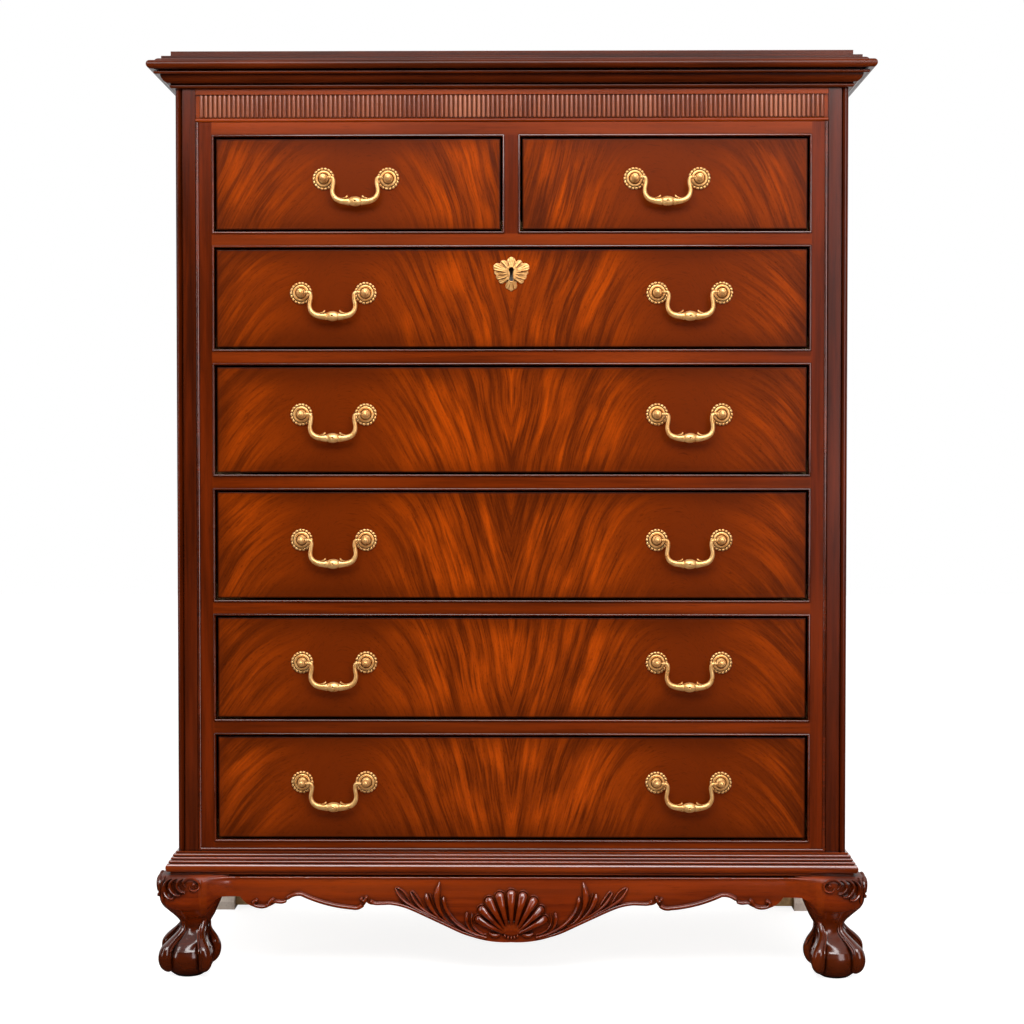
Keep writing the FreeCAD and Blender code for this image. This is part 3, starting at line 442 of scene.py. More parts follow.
def turned(profile, place, sides, spread=None):
    """Profile of (radius, distance in front of place) turned about a line from front to back.

    spread(radius, distance, turn) gives the radius and the distance anew over the turn."""
    turn = around(sides)
    radius = profile[:, 0][:, None] * np.ones(sides)
    out = profile[:, 1][:, None] * np.ones(sides)
    if spread is not None:
        radius, out = spread(radius, out, turn[None, :])
    points = np.stack([radius * np.cos(turn), -out, radius * np.sin(turn)], axis=-1) + np.asarray(place)
    return closed_shell(points, flip=True)


# ==== materials ===========================================================================
class Nodes:
    """Places nodes in one tree and wires them: a value that is a socket is linked."""

    def __init__(self, tree):
        self.tree = tree

    def feed(self, socket, value):
        if isinstance(value, bpy.types.NodeSocket):
            self.tree.links.new(value, socket)
        else:
            socket.default_value = value

    def fill(self, node, values):
        """Feeds several inputs of a node, each by its name or number."""
        for key, value in values.items():
            self.feed(node.inputs[key], value)
        return node

    def put(self, kind, values=None, **settings):
        node = self.tree.nodes.new(kind)
        for key, value in settings.items():
            setattr(node, key, value)
        return self.fill(node, values or {})

    def math(self, operation, a, b=0.0, c=0.0, clamp=False):
        return self.put("ShaderNodeMath", {0: a, 1: b, 2: c}, operation=operation, use_clamp=clamp).outputs[0]

    def times(self, a, b):
        return self.math("MULTIPLY", a, b)

    def plus(self, a, b):
        return self.math("ADD", a, b)

    def minus(self, a, b):
        return self.math("SUBTRACT", a, b)

    def absolute(self, a):
        return self.math("ABSOLUTE", a)

    def blend(self, share, a, b):
        return self.put("ShaderNodeMix", {0: share, 6: a, 7: b}, data_type="RGBA").outputs[2]

    def tint(self, colour, mask, share, tone):
        """Lays a share of a tone over the colour where the mask is 1."""
        return self.blend(self.times(mask, share), colour, tone)

    def step(self, value, low, high, out_low=0.0, out_high=1.0):
        """Smooth rise from out_low to out_high as value goes from low to high."""
        values = dict(enumerate((value, low, high, out_low, out_high)))
        return self.put("ShaderNodeMapRange", values, interpolation_type="SMOOTHSTEP").outputs[0]

    def fade(self, value, low, high):
        """Smooth fall from 1 to 0 as value goes from low to high."""
        return self.step(value, low, high, 1.0, 0.0)

    def noise(self, vector, scale=1.0, detail=2.0, roughness=0.5, seed=None):
        values = {"Vector": vector, "Scale": scale, "Detail": detail, "Roughness": roughness}
        if seed is None:
            return self.put("ShaderNodeTexNoise", values).outputs[0]
        values["W"] = seed
        return self.put("ShaderNodeTexNoise", values, noise_dimensions="4D").outputs[0]

    def combine(self, x, y, z):
        return self.put("ShaderNodeCombineXYZ", {0: x, 1: y, 2: z}).outputs[0]

    def split(self, vector):
        return self.put("ShaderNodeSeparateXYZ", {0: vector}).outputs

    def stretch(self, vector, factors):
        return self.put("ShaderNodeVectorMath", {0: vector, 1: factors}, operation="MULTIPLY").outputs[0]

    def group(self, tree, values):
        return self.fill(self.put("ShaderNodeGroup", node_tree=tree), values).outputs


def linear(red, green, blue):
    """Screen colour of 0 to 255 as the linear value that a shader takes."""
    shares = [v / 255.0 for v in (red, green, blue)]
    return tuple(v / 12.92 if v <= 0.04045 else ((v + 0.055) / 1.055) ** 2.4 for v in shares) + (1.0,)


def new_group(name, inputs, outputs):
    """Empty shader group; inputs are (name, kind, start value) and outputs are values' names."""
    tree = bpy.data.node_groups.new(name, "ShaderNodeTree")
    kinds = {"value": "NodeSocketFloat", "vector": "NodeSocketVector"}
    for title, kind, start in inputs:
        socket = tree.interface.new_socket(title, in_out="INPUT", socket_type=kinds[kind])
        if start is not None:
            socket.default_value = start
    for title in outputs:
        tree.interface.new_socket(title, in_out="OUTPUT", socket_type=kinds["value"])
    nodes = Nodes(tree)
    return tree, nodes, nodes.put("NodeGroupInput").outputs, nodes.put("NodeGroupOutput")


def flame_group():
    """Arched flame figure of crotch veneer, bookmatched about the chest's middle.

    Streaks follow lines of equal value of level * width / radius + radius, where level is
    the height above the front's middle, along the distance from the arch's middle, and
    radius the root of along^2 + width^2. They are strongest on the arch's flanks, broken
    up along their length, and fade in its heart."""
    tree, n, given, out = new_group("flame figure", [
        ("Vector", "vector", None), ("Arch middle", "value", 0.265), ("Height", "value", 0.3),
        ("Arch width", "value", 0.06), ("Seed", "value", 0.0), ("Bay middle", "value", 0.0),
        ("Bay half", "value", 0.44), ("Half height", "value", 0.07),
    ], ["Figure", "Flecks", "Heart", "Border", "Rim"])
    place = n.split(given["Vector"])
    sway = n.minus(n.noise(given["Vector"], 6.0, 1.0, 0.5, given["Seed"]), 0.5)
    across = n.absolute(place[0])
    from_middle = n.minus(across, given["Arch middle"])
    along = n.plus(from_middle, n.times(sway, 0.045))
    level = n.minus(place[2], given["Height"])
    outer = n.step(from_middle, -0.03, 0.07)
    width = n.times(given["Arch width"], n.step(outer, 0.0, 1.0, 1.0, 2.1))
    radius = n.math("SQRT", n.plus(n.times(along, along), n.times(width, width)))
    line = n.plus(n.math("DIVIDE", n.times(level, width), radius), radius)

    def drawn_out(over_lines, over_width, over_height, detail, roughness):
        """Noise that changes at one rate from line to line and slowly along them."""
        where = n.combine(n.times(line, over_lines), n.times(place[0], over_width),
                          n.times(place[2], over_height))
        return n.noise(where, 1.0, detail, roughness, given["Seed"])

    patch = drawn_out(26.0, 7.0, 9.0, 2.0, 0.5)
    streak = drawn_out(125.0, 6.0, 8.0, 2.0, 0.55)
    fine = drawn_out(430.0, 14.0, 20.0, 3.0, 0.65)
    fleck = drawn_out(1500.0, 60.0, 210.0, 1.0, 0.5)
    heart = n.fade(n.absolute(along), 0.02, 0.15)
    strong = n.times(n.step(patch, 0.35, 0.60, 0.55, 1.0), n.minus(1.0, n.times(heart, 0.94)))
    strong = n.times(strong, n.step(outer, 0.0, 1.0, 1.0, 0.72))
    total = n.plus(n.step(patch, 0.30, 0.70, -0.30, 0.30), n.step(streak, 0.40, 0.60, -0.20, 0.26))
    total = n.plus(total, n.step(fine, 0.40, 0.60, -0.13, 0.16))
    ground = n.step(from_middle, 0.02, 0.16, 0.37, 0.29)
    end = n.minus(given["Bay half"], n.absolute(n.minus(across, given["Bay middle"])))
    edge = n.minus(given["Half height"], n.absolute(level))
    near = n.plus(n.math("SMOOTH_MIN", end, edge, 0.02), n.times(sway, 0.05))
    n.fill(out, {
        "Figure": n.math("ADD", n.times(total, strong), ground, clamp=True),
        "Flecks": n.step(fleck, 0.60, 0.70),
        "Heart": heart,
        "Border": n.fade(near, -0.004, 0.036),
        "Rim": n.fade(n.math("MINIMUM", end, edge), 0.0006, 0.0030),
    })
    return tree


def grain_group():
    """Straight grain: noise stretched along the board, with short dark pores."""
    tree, n, given, out = new_group("straight grain", [
        ("Vector", "vector", None), ("Stretch", "vector", (4.0, 90.0, 90.0)), ("Seed", "value", 0.0),
    ], ["Figure", "Pores"])
    scaled = n.stretch(given["Vector"], given["Stretch"])
    figure = n.noise(scaled, 1.0, 4.0, 0.6, given["Seed"])
    pores = n.noise(scaled, 7.0, 1.0, 0.5, given["Seed"])
    n.fill(out, {"Figure": n.step(figure, 0.3, 0.7), "Pores": n.step(pores, 0.6, 0.72)})
    return tree


def hollow_and_edge_group():
    """Occlusion masks: Hollow where a surface lies in a hollow, Edge where an edge stands out."""
    tree, n, given, out = new_group("hollow and edge masks", [
        ("Hollow reach", "value", 0.006), ("Edge reach", "value", 0.0015),
    ], ["Hollow", "Edge"])
    hollow = n.put("ShaderNodeAmbientOcclusion", {"Distance": given["Hollow reach"]}, samples=6)
    edge = n.put("ShaderNodeAmbientOcclusion", {"Distance": given["Edge reach"]}, samples=4, inside=True)
    n.fill(out, {"Hollow": n.step(hollow.outputs["AO"], 0.92, 0.45),
                 "Edge": n.step(edge.outputs["AO"], 0.9, 0.45)})
    return tree


FLAME = flame_group()
GRAIN = grain_group()
HOLLOW_AND_EDGE = hollow_and_edge_group()


def new_material(name):
    """Material with a Principled shader; gives (material, nodes, shader, object coordinates)."""
    material = bpy.data.materials.new(name)
    material.use_nodes = True
    nodes = Nodes(material.node_tree)
    shader = material.node_tree.nodes["Principled BSDF"]
    place = nodes.put("ShaderNodeTexCoord").outputs["Object"]
    return material, nodes, shader, place


def wood(name, tones, stretch, seed, gloss=0.22, specular=0.3, hollow_shade=0.8, coat=0.0, hollow=0.0045,
         low=None, dull=None):
    """Polished straight-grained wood with painted shade in its hollows, pale worn edges and a clear coat.

    tones are its dark, middle and light colour. low is a colour that it darkens to: painted shade
    on the feet, deeper towards the floor, and a darker ground on the knees. dull holds two heights
    between which the polish fades at the top of the legs."""
    material, n, shader, place = new_material(name)
    dark, middle, light = tones
    grain = n.group(GRAIN, {"Vector": place, "Stretch": stretch, "Seed": seed})
    occlusion = n.group(HOLLOW_AND_EDGE, {"Hollow reach": hollow})
    cloud = n.noise(n.stretch(place, tuple(max(0.08 * s, 1.5) for s in stretch)), 1.0, 2.0, 0.5, seed + 3.0)
    where = n.split(place)
    from_middle = n.absolute(where[0])
    at_leg = n.step(from_middle, 0.40, 0.47)
    colour = n.blend(grain["Figure"], dark, middle)
    colour = n.tint(colour, n.step(cloud, 0.45, 0.75), 0.8, light)
    # Painted shade on the feet, deeper towards the floor; the knees' carved ground is darkened as well.
    if low is not None:
        knee = n.times(n.step(from_middle, 0.468, 0.490), n.step(where[2], 0.116, 0.138, 0.0, 0.6))
        foot = n.times(at_leg, n.step(where[2], 0.055, 0.125, 0.75, 0.0))
        colour = n.blend(n.math("MAXIMUM", foot, knee), colour, low)
    colour = n.tint(colour, grain["Pores"], 0.35, linear(30, 8, 2))
    # Painted shade: the colour turns darker in hollows that occlusion finds.
    colour = n.tint(colour, occlusion["Hollow"], hollow_shade, linear(16, 3, 0))
    colour = n.tint(colour, occlusion["Edge"], 0.25, light)
    rough = n.step(cloud, 0.2, 0.8, gloss - 0.04, gloss + 0.06)
    if dull is not None:
        faded = n.times(at_leg, n.step(where[2], *dull))
        rough = n.plus(rough, n.times(faded, 0.35))
        coat = n.step(faded, 0.0, 1.0, coat, 0.0)
    bump = n.put("ShaderNodeBump", {"Strength": 0.02, "Distance": 0.0004, "Height": grain["Figure"]})
    n.fill(shader, {"Base Color": colour, "Roughness": rough, "Specular IOR Level": specular,
                    "Coat Weight": coat, "Coat Roughness": 0.11, "Normal": bump.outputs[0]})
    return material


def flame_veneer(name, low, high, middle, width, seed):
    """Polished crotch veneer on one drawer front between two corners, darker at its borders."""
    material, n, shader, place = new_material(name)
    flame = n.group(FLAME, {
        "Vector": place, "Arch middle": middle, "Height": (low[2] + high[2]) / 2, "Arch width": width,
        "Seed": seed, "Bay middle": abs(low[0] + high[0]) / 2, "Bay half": (high[0] - low[0]) / 2,
        "Half height": (high[2] - low[2]) / 2,
    })
    colour = n.blend(flame["Figure"], linear(74, 23, 0), linear(172, 66, 3))
    colour = n.tint(colour, flame["Heart"], 0.5, linear(84, 26, 0))
    colour = n.tint(colour, flame["Border"], 0.5, linear(62, 18, 0))
    colour = n.tint(colour, flame["Flecks"], 0.5, linear(36, 9, 0))
    # Dark rim along the front's edge: partly the edge's own dark line, partly painted shade from the gap and
    # the cock bead.
    colour = n.tint(colour, flame["Rim"], 0.75, linear(24, 5, 0))
    n.fill(shader, {"Base Color": colour, "Roughness": n.step(flame["Figure"], 0.0, 1.0, 0.27, 0.22),
                    "Specular IOR Level": 0.11})
    return material


def brass(name, dark, light, rough):
    """Lacquered brass, dark brown where it is hollow."""
    material, n, shader, place = new_material(name)
    occlusion = n.group(HOLLOW_AND_EDGE, {"Hollow reach": 0.0035, "Edge reach": 0.0008})
    cloud = n.noise(place, 120.0, 3.0, 0.6)
    colour = n.blend(n.step(cloud, 0.3, 0.7), dark, light)
    colour = n.tint(colour, occlusion["Hollow"], 0.9, linear(96, 46, 12))
    n.fill(shader, {"Base Color": colour, "Metallic": 0.6,
                    "Roughness": n.step(cloud, 0.2, 0.8, rough, rough + 0.1)})
    return material


LENGTHWISE = (5.0, 110.0, 110.0)
UPRIGHT = (110.0, 110.0, 5.0)
FRONT_TO_BACK = (110.0, 5.0, 110.0)
PIN_PITCH = 0.031             # from one pin of a drawer joint to the next
PIN_HALF = 0.0042             # half-width of a pin at the board's end
PIN_SLOPE = 0.2               # how fast it narrows along its length
PIN_LENGTH = 0.012
SEAM = (0.0002, 0.0006)       # half-width of a joint's dark line, full and faded


def lining_wood():
    """Pale lining; on the outer faces of the drawer sides it shows the joints at both ends.

    A pin's half-width is PIN_HALF less PIN_SLOPE times the distance from the board's end.
    Boards that face front or back have their grain across the drawer."""
    material, n, shader, place = new_material("drawer lining")
    grain = n.group(GRAIN, {"Vector": place, "Stretch": FRONT_TO_BACK, "Seed": 9.0})
    cross_grain = n.group(GRAIN, {"Vector": place, "Stretch": LENGTHWISE, "Seed": 9.5})
    where = n.split(place)
    low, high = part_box("box_long_1")
    end = n.math("MINIMUM", n.minus(where[1], float(low[1])), n.minus(float(high[1]), where[1]))
    turn = n.math("FRACT", n.math("DIVIDE", where[2], PIN_PITCH))
    level = n.times(n.absolute(n.minus(turn, 0.5)), PIN_PITCH)
    inside = n.minus(n.minus(PIN_HALF, n.times(end, PIN_SLOPE)), level)
    joint = n.fade(end, PIN_LENGTH, PIN_LENGTH + 0.0004)
    pin = n.times(joint, n.step(inside, -SEAM[0], SEAM[0]))
    seam = n.times(joint, n.fade(n.absolute(inside), *SEAM))
    last = n.times(pin, n.fade(n.absolute(n.minus(end, PIN_LENGTH)), *SEAM))
    facing = n.split(n.put("ShaderNodeNewGeometry").outputs["Normal"])
    sideways = n.step(n.absolute(facing[0]), 0.8, 0.9)
    dark = linear(172, 140, 96)
    light = linear(206, 176, 130)
    colour = n.blend(n.step(n.absolute(facing[1]), 0.8, 0.9), n.blend(grain["Figure"], dark, light),
                     n.blend(cross_grain["Figure"], dark, light))
    colour = n.tint(colour, grain["Pores"], 0.3, linear(120, 88, 52))
    colour = n.tint(colour, pin, n.times(sideways, 0.6), linear(126, 92, 54))
    colour = n.tint(colour, n.math("MAXIMUM", seam, last), n.times(sideways, 0.8), linear(58, 38, 20))
    n.fill(shader, {"Base Color": colour, "Roughness": n.step(grain["Figure"], 0.0, 1.0, 0.5, 0.6),
                    "Specular IOR Level": 0.2})
    return material


def rear_foot_wood():
    """Bare pale wood on the inner and front faces of the rear feet, stained on the others."""
    material, n, shader, place = new_material("rear foot wood")
    grain = n.group(GRAIN, {"Vector": place, "Stretch": UPRIGHT, "Seed": 12.0})
    facing = n.split(n.put("ShaderNodeNewGeometry").outputs["Normal"])
    inward = n.times(facing[0], n.math("SIGN", n.split(place)[0]))
    bare = n.math("MAXIMUM", n.step(inward, -0.3, -0.5), n.step(facing[1], -0.3, -0.5))
    stained = n.blend(grain["Figure"], linear(74, 23, 0), linear(124, 42, 2))
    plain = n.blend(grain["Figure"], linear(240, 222, 206), linear(250, 236, 222))
    colour = n.tint(n.blend(bare, stained, plain), grain["Pores"], 0.3, linear(60, 30, 12))
    n.fill(shader, {"Base Color": colour, "Roughness": n.step(bare, 0.0, 1.0, 0.28, 0.65)})
    return material


def steel():
    """Brushed steel, its fine lines lying level."""
    material, n, shader, place = new_material("lock steel")
    brushed = n.noise(n.stretch(place, (60.0, 60.0, 1500.0)), 1.0, 2.0, 0.5)
    colour = n.blend(brushed, linear(120, 118, 112), linear(170, 168, 160))
    n.fill(shader, {"Base Color": colour, "Metallic": 1.0, "Roughness": n.step(brushed, 0.2, 0.8, 0.35, 0.5)})
    return material


def tones(*colours):
    return [linear(*colour) for colour in colours]


CASE = tones((80, 25, 0), (116, 39, 0), (148, 56, 2))
UPRIGHTS = tones((70, 20, 0), (104, 32, 0), (132, 46, 1))
MOULDED = tones((54, 14, 0), (88, 26, 0), (120, 42, 2))
CARVED = tones((92, 26, 0), (130, 42, 1), (160, 62, 5))
# Base moulding: its own mahogany tone, painted lighter than the case's to stand in for the bright highlight
# on its torus.
TORUS_PAINTED_LIGHT = tones((94, 30, 1), (134, 49, 4), (168, 71, 11))
CROWN = tones((54, 15, 0), (90, 30, 1), (122, 46, 3))
REEDED = tones((108, 46, 20), (142, 70, 36), (176, 104, 70))
PALE = tones((170, 138, 94), (196, 164, 118), (210, 182, 138))
PLAIN_BACK = tones((128, 92, 56), (156, 118, 76), (170, 132, 90))
RAIL_WOOD = wood("mahogany rails", CASE, LENGTHWISE, 1.0, specular=0.2)
STILE_WOOD = wood("mahogany stiles", UPRIGHTS, UPRIGHT, 2.0, specular=0.2)
SIDE_WOOD = wood("mahogany sides", CASE, UPRIGHT, 3.0)
MOULDING_WOOD = wood("mahogany mouldings", TORUS_PAINTED_LIGHT, LENGTHWISE, 4.0, specular=0.5, gloss=0.18, coat=0.8)
CORNICE_WOOD = wood("mahogany cornice", CROWN, LENGTHWISE, 4.5, specular=0.2, gloss=0.24, hollow_shade=0.95,
                    hollow=0.008)
POST_WOOD = wood("mahogany posts", MOULDED, UPRIGHT, 5.0, specular=0.4, gloss=0.2)
BEAD_WOOD = wood("mahogany beads", MOULDED, LENGTHWISE, 6.0, specular=0.8, gloss=0.16, hollow_shade=1.0,
                 coat=1.0, hollow=0.0035)
# Carved wood: painted shade in its hollows and on its feet near the floor.
CARVED_WOOD = wood("carved mahogany", CARVED, LENGTHWISE, 7.0, specular=0.55, gloss=0.16, hollow_shade=0.9,
                   coat=0.6, hollow=0.0065, low=linear(46, 13, 0), dull=(0.1450, 0.1510))
REED_WOOD = wood("reeded mahogany", REEDED, UPRIGHT, 8.0, specular=0.6, hollow_shade=1.0)
LINING_WOOD = lining_wood()
INNER_WOOD = wood("secondary wood", PALE, FRONT_TO_BACK, 10.0, specular=0.15, gloss=0.65, hollow_shade=0.3)
BACK_WOOD = wood("back board", PLAIN_BACK, UPRIGHT, 11.0, specular=0.15, gloss=0.65, hollow_shade=0.3)
REAR_WOOD = rear_foot_wood()
BRASS = brass("antique brass", linear(240, 174, 100), linear(255, 206, 136), 0.26)
# A darker copy of the handle brass for the escutcheon: painted shade that tones down the plate where it faces
# the overhead lamp.
SHADED_BRASS = brass("brass painted darker", linear(206, 146, 80), linear(228, 176, 110), 0.32)
STEEL = steel()
FINISHES = (
    (RAIL_WOOD, ("drawer_rails", "frieze_board", "back_rail")),
    (STILE_WOOD, ("face_stiles", "centre_muntin")),
    (SIDE_WOOD, ("side_panels", "side_aprons")),
    (CORNICE_WOOD, ("top_board",)),
    (CARVED_WOOD, ("front_apron", "apron_carving", "leg_front_left", "leg_front_right")),
    (REAR_WOOD, ("rear_feet",)),
    (INNER_WOOD, ("drawer_runners", "dust_panels", "bottom_board", "glue_blocks")),
    (BACK_WOOD, ("back_panel",)),
    (STEEL, ("lock_case", "lock_bolt")),
    (SHADED_BRASS, ("escutcheon",)),
)


def dress(node, material):
    """Gives a CAD node's material slots one finish."""
    thing = frame["nodes"][node]
    thing.data.materials.clear()
    thing.data.materials.append(material)


# ==== the case ============================================================================
def dress_case():
    for material, nodes in FINISHES:
        for node in nodes:
            dress(node, material)
    for node in frame["nodes"]:
        if node.startswith(("posts_", "bail_")):
            dress(node, BRASS)
        elif node.startswith("box_"):
            dress(node, LINING_WOOD)


def dress_fronts():
    """Each front gets its own arch: middle and width differ between short and long drawers."""
    for number, name in enumerate(DRAWERS):
        low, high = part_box("front_" + name)
        middle, width = (0.231, 0.040) if name.startswith("short") else (0.265, 0.056)
        seed = 7.3 * number + 2.0
        dress("front_" + name, flame_veneer("flame veneer " + name, low, high, middle, width, seed))
        eased(frame["nodes"]["front_" + name], EASED_FRONT)


def build_case():
    cornice = round_three_sides(cornice_profile())
    base = round_three_sides(base_profile())
    posts = joined([corner_post(-1), corner_post(1)])
    eased(case_piece("moulded_cornice", cornice, CORNICE_WOOD, "cornice_moulding"))
    eased(case_piece("stepped_base_moulding", base, MOULDING_WOOD, "base_moulding"))
    eased(case_piece("beaded_corner_posts", posts, POST_WOOD, "corner_posts"))
    case_piece("drawer_cock_beads", cock_beads(), BEAD_WOOD, "cock_beads")
    case_piece("face_frame_bead", frame_bead(), BEAD_WOOD, "frame_bead")
    case_piece("frieze_reeds", reeds(), REED_WOOD, "frieze_reeding")


# ==== brass ===============================================================================
SPACING = 0.096               # between the two posts of a handle
PIVOT_OUT = 0.0155
ROSETTE = 0.0165
PLAIN_ROSETTE = 0.0130        # the scallops lie outside this radius
SCALLOPS = 18                 # beads round a rosette
SCALLOP_START = 0.0020        # over this distance they reach their full depth
ROSETTE_RIM = 0.0006          # thickness of the rim that stays whole
DRAWN_IN = 0.075              # shares by which the rim is drawn in and lowered between beads
LOWERED = 0.5
KNOB = 0.0056
SHANK = 0.0024
SHANK_PAST = 0.008            # how far the shank runs on behind the drawer front
FRONT_THICK = 0.02
NUT = 0.0055
NUT_THICK = 0.004
NUT_CLEAR = 1e-5              # keeps the nut's face off the back of the front
BAIL_DEPTH = 0.0353           # middle of the grip below the pivot
BOSS = (0.0115, 0.0062, 0.0074)
PIVOT_BALL = (0.0029, 0.0031, 0.0031)
PIVOT_BALL_OUT = 0.0381
TOWARDS_FRONT = np.array([0.0, -1.0, 0.0])
# Right half of a bail, from the pivot to the boss: out, up, half-width, half-depth.
BAIL_ROD = MM * np.array([
    (41.4, 0, 2, 2), (37.5, 0, 2.2, 2.2), (34.5, -0.2, 2.5, 2.4), (32.4, -2.4, 2.7, 2.6),
    (32, -7.5, 2.8, 2.6), (32.9, -13, 2.9, 2.7), (33.8, -18.5, 3, 2.8), (33.2, -24, 3.2, 3),
    (30.6, -29.2, 3.6, 3.3), (26, -32.8, 4, 3.6), (20.5, -34.6, 4.4, 3.9), (15.5, -35.2, 4.9, 4.2),
    (11.8, -35.4, 5.4, 4.4), (9.2, -35.6, 5.7, 4.4), (7.8, -35.6, 4.6, 3.6),
])
# Leaf lip above each end of the boss: out, up, half-width.
BAIL_LIP = MM * np.array([
    (18.5, -31.2, 0.8), (15, -30.6, 1.3), (12.4, -29.2, 1.4), (11.2, -27.6, 1.1), (11.4, -26.6, 0.5),
])
LIP_OUT = 0.0022


def scalloped(radius, out, turn):
    """Draws in and lowers the rosette's rim between its beads: a bead is |cos| of half the
    scallops times the turn, to the power 0.4."""
    between_beads = 1 - np.abs(np.cos(SCALLOPS / 2 * turn)) ** 0.4
    rim = np.clip((radius - PLAIN_ROSETTE) / SCALLOP_START, 0, 1) * between_beads
    front = (out > ROSETTE_RIM).astype(float)
    return radius * (1 - DRAWN_IN * rim), out * (1 - LOWERED * rim * front)


def handle_post(x, z):
    """Knob, stem and scalloped rosette on one shank, with its nut behind the drawer front."""
    turn = np.linspace(0.02, 2.45, 22)
    waist = 1 - 0.10 * hump(turn, 0.80, 0.09)
    ball = np.stack([KNOB * np.sin(turn) * waist, PIVOT_OUT + KNOB * np.cos(turn) * waist], axis=-1)
    body = outline((0.0042, 0.0050), [
        (0.0066, 0.0034), (0.0082, 0.0014), ((0.0104, 0.0040), (0.0126, 0.0014)), (PLAIN_ROSETTE, 0.0010),
        ((0.0148, 0.0034), (ROSETTE, 0.0008)), (ROSETTE, 0.0), (SHANK, 0.0),
        (SHANK, -FRONT_THICK - SHANK_PAST),
    ], arc_steps=8)
    behind = -FRONT_THICK - NUT_CLEAR
    washer = np.array([(0.0, behind), (NUT, behind), (NUT, behind - NUT_THICK), (0.0, behind - NUT_THICK)])
    place = (x, FACE_Y, z)
    return joined([turned(np.vstack([ball, body]), place, 8 * SCALLOPS, scalloped), turned(washer, place, 6)])


def boss(place):
    """Oval boss with a small dimple in a raised lip at its front pole."""
    turn = np.concatenate([np.linspace(0.02, 0.3, 10), np.linspace(0.36, 3.08, 22)])
    dimple = 1 - 0.34 * hump(turn, 0.0, 0.085) + 0.05 * hump(turn, 0.2, 0.06)
    return egg(place, BOSS, turn, 40, dimple[:, None])


def bail(x, z):
    """Swan-neck bail: a rod whose thickness swells towards the grip and ends in two cups,
    with an oval boss between them and a small ball at each pivot."""
    y = FACE_Y - PIVOT_OUT
    out, up, wide, thick = through(BAIL_ROD, 6).T
    lip_out, lip_up, lip_wide = through(BAIL_LIP, 5).T
    parts = [boss((x, y, z - BAIL_DEPTH))]
    for side in (-1, 1):
        rod = np.column_stack([x + side * out, np.full(len(out), y), z + up])
        lip = np.column_stack([x + side * lip_out, np.full(len(lip_out), y - LIP_OUT), z + lip_up])
        parts.append(tube(rod, wide, thick, TOWARDS_FRONT, 18))
        parts.append(tube(lip, lip_wide, 2 * lip_wide, TOWARDS_FRONT, 10))
        parts.append(knob((x + side * PIVOT_BALL_OUT, y, z), PIVOT_BALL))
    return joined(parts)


def evenly(points, count):
    """Closed line resampled to count points at even distances, first point kept."""
    closed = np.vstack([points, points[:1]])
    run = np.concatenate([[0.0], np.cumsum(np.linalg.norm(np.diff(closed, axis=0), axis=1))])
    at = run[-1] * np.arange(count) / count
    return np.column_stack([np.interp(at, run, closed[:, 0]), np.interp(at, run, closed[:, 1])])


def both_halves(half):
    """Outline of the right half, top to bottom, followed by its mirror image back to the top."""
    return np.vstack([half, (half * (-1, 1))[::-1][1:-1]])


KEYHOLE = outline((0.0, 0.0038), [
    ((0.0036, 0.0012), (0.0027, -0.0027)), ((0.0023, -0.0070), (0.0030, -0.0135)),
    ((0.0024, -0.0160), (0.0, -0.0168)),
], 12)
PLATE_EDGE = outline((0.0, 0.0198), [
    ((0.0052, 0.0166), (0.0070, 0.0124)), ((0.0122, 0.0148), (0.0166, 0.0094)),
    ((0.0262, 0.0066), (0.0248, -0.0012)), ((0.0248, -0.0054), (0.0222, -0.0078)),
    ((0.0220, -0.0124), (0.0186, -0.0146)), ((0.0168, -0.0196), (0.0122, -0.0200)),
    ((0.0090, -0.0172), (0.0080, -0.0204)), ((0.0084, -0.0256), (0.0040, -0.0288)), (0.0, -0.0318),
], 12)
PLATE_TOP = 0.0203            # top of the plate above the keyhole's middle
PLATE_RIM = 0.0016            # thickness at its edge
DOME = 0.0018
KEYHOLE_RIM = 0.0008
GROOVE_SHARE = 0.66           # share of the height that a full groove takes away
FULL_NOTCH = 0.0016           # bend of the outline that makes a full groove
RIBS = 44                     # fine ribs round the plate
RIB_SHARE = 0.30


def shell_escutcheon():
    """Cast plate between a keyhole and a lobed outline.

    Its height falls from the keyhole's rim to the edge as a dome, less a groove that runs
    in from each notch of the outline and fades towards the keyhole, and less fine ribs. t
    is the share of the way from the keyhole to the edge."""
    count = 288
    near = 7
    inner = evenly(both_halves(KEYHOLE), count)
    outer = evenly(both_halves(PLATE_EDGE), count)
    t = np.linspace(0, 1, 26)[:, None]
    flat = inner[None] * (1 - t[..., None]) + outer[None] * t[..., None]
    beside = (np.roll(outer, near, axis=0) + np.roll(outer, -near, axis=0)) / 2
    bend = 2 * np.linalg.norm(beside - outer, axis=1)
    inward = np.linalg.norm(beside, axis=1) > np.linalg.norm(outer, axis=1)
    notch = np.clip(np.where(inward, bend, 0.0) / FULL_NOTCH, 0, 1)
    rib = 0.5 + 0.5 * np.cos(RIBS * around(count))
    groove = notch[None] * np.clip((t - 0.18) / 0.4, 0, 1)
    groove = groove + RIB_SHARE * rib[None] * np.clip((t - 0.3) / 0.3, 0, 1) * (t < 0.93)
    dome = PLATE_RIM + DOME * np.sqrt(np.clip(1 - t ** 2.2, 0, 1))
    rim = KEYHOLE_RIM * hump(t, 0.06, 0.06)
    height = (dome + rim) * (1 - GROOVE_SHARE * np.clip(groove, 0, 1))
    rows = np.concatenate([inner[None], flat, outer[None]])
    out = np.vstack([np.zeros((1, count)), height, np.zeros((1, count))])
    middle_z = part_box("escutcheon")[1][2] - PLATE_TOP
    points = np.stack([rows[..., 0], FACE_Y - out, middle_z + rows[..., 1]], axis=-1)
    return shell(points, wrap_rows=True, wrap_columns=True)


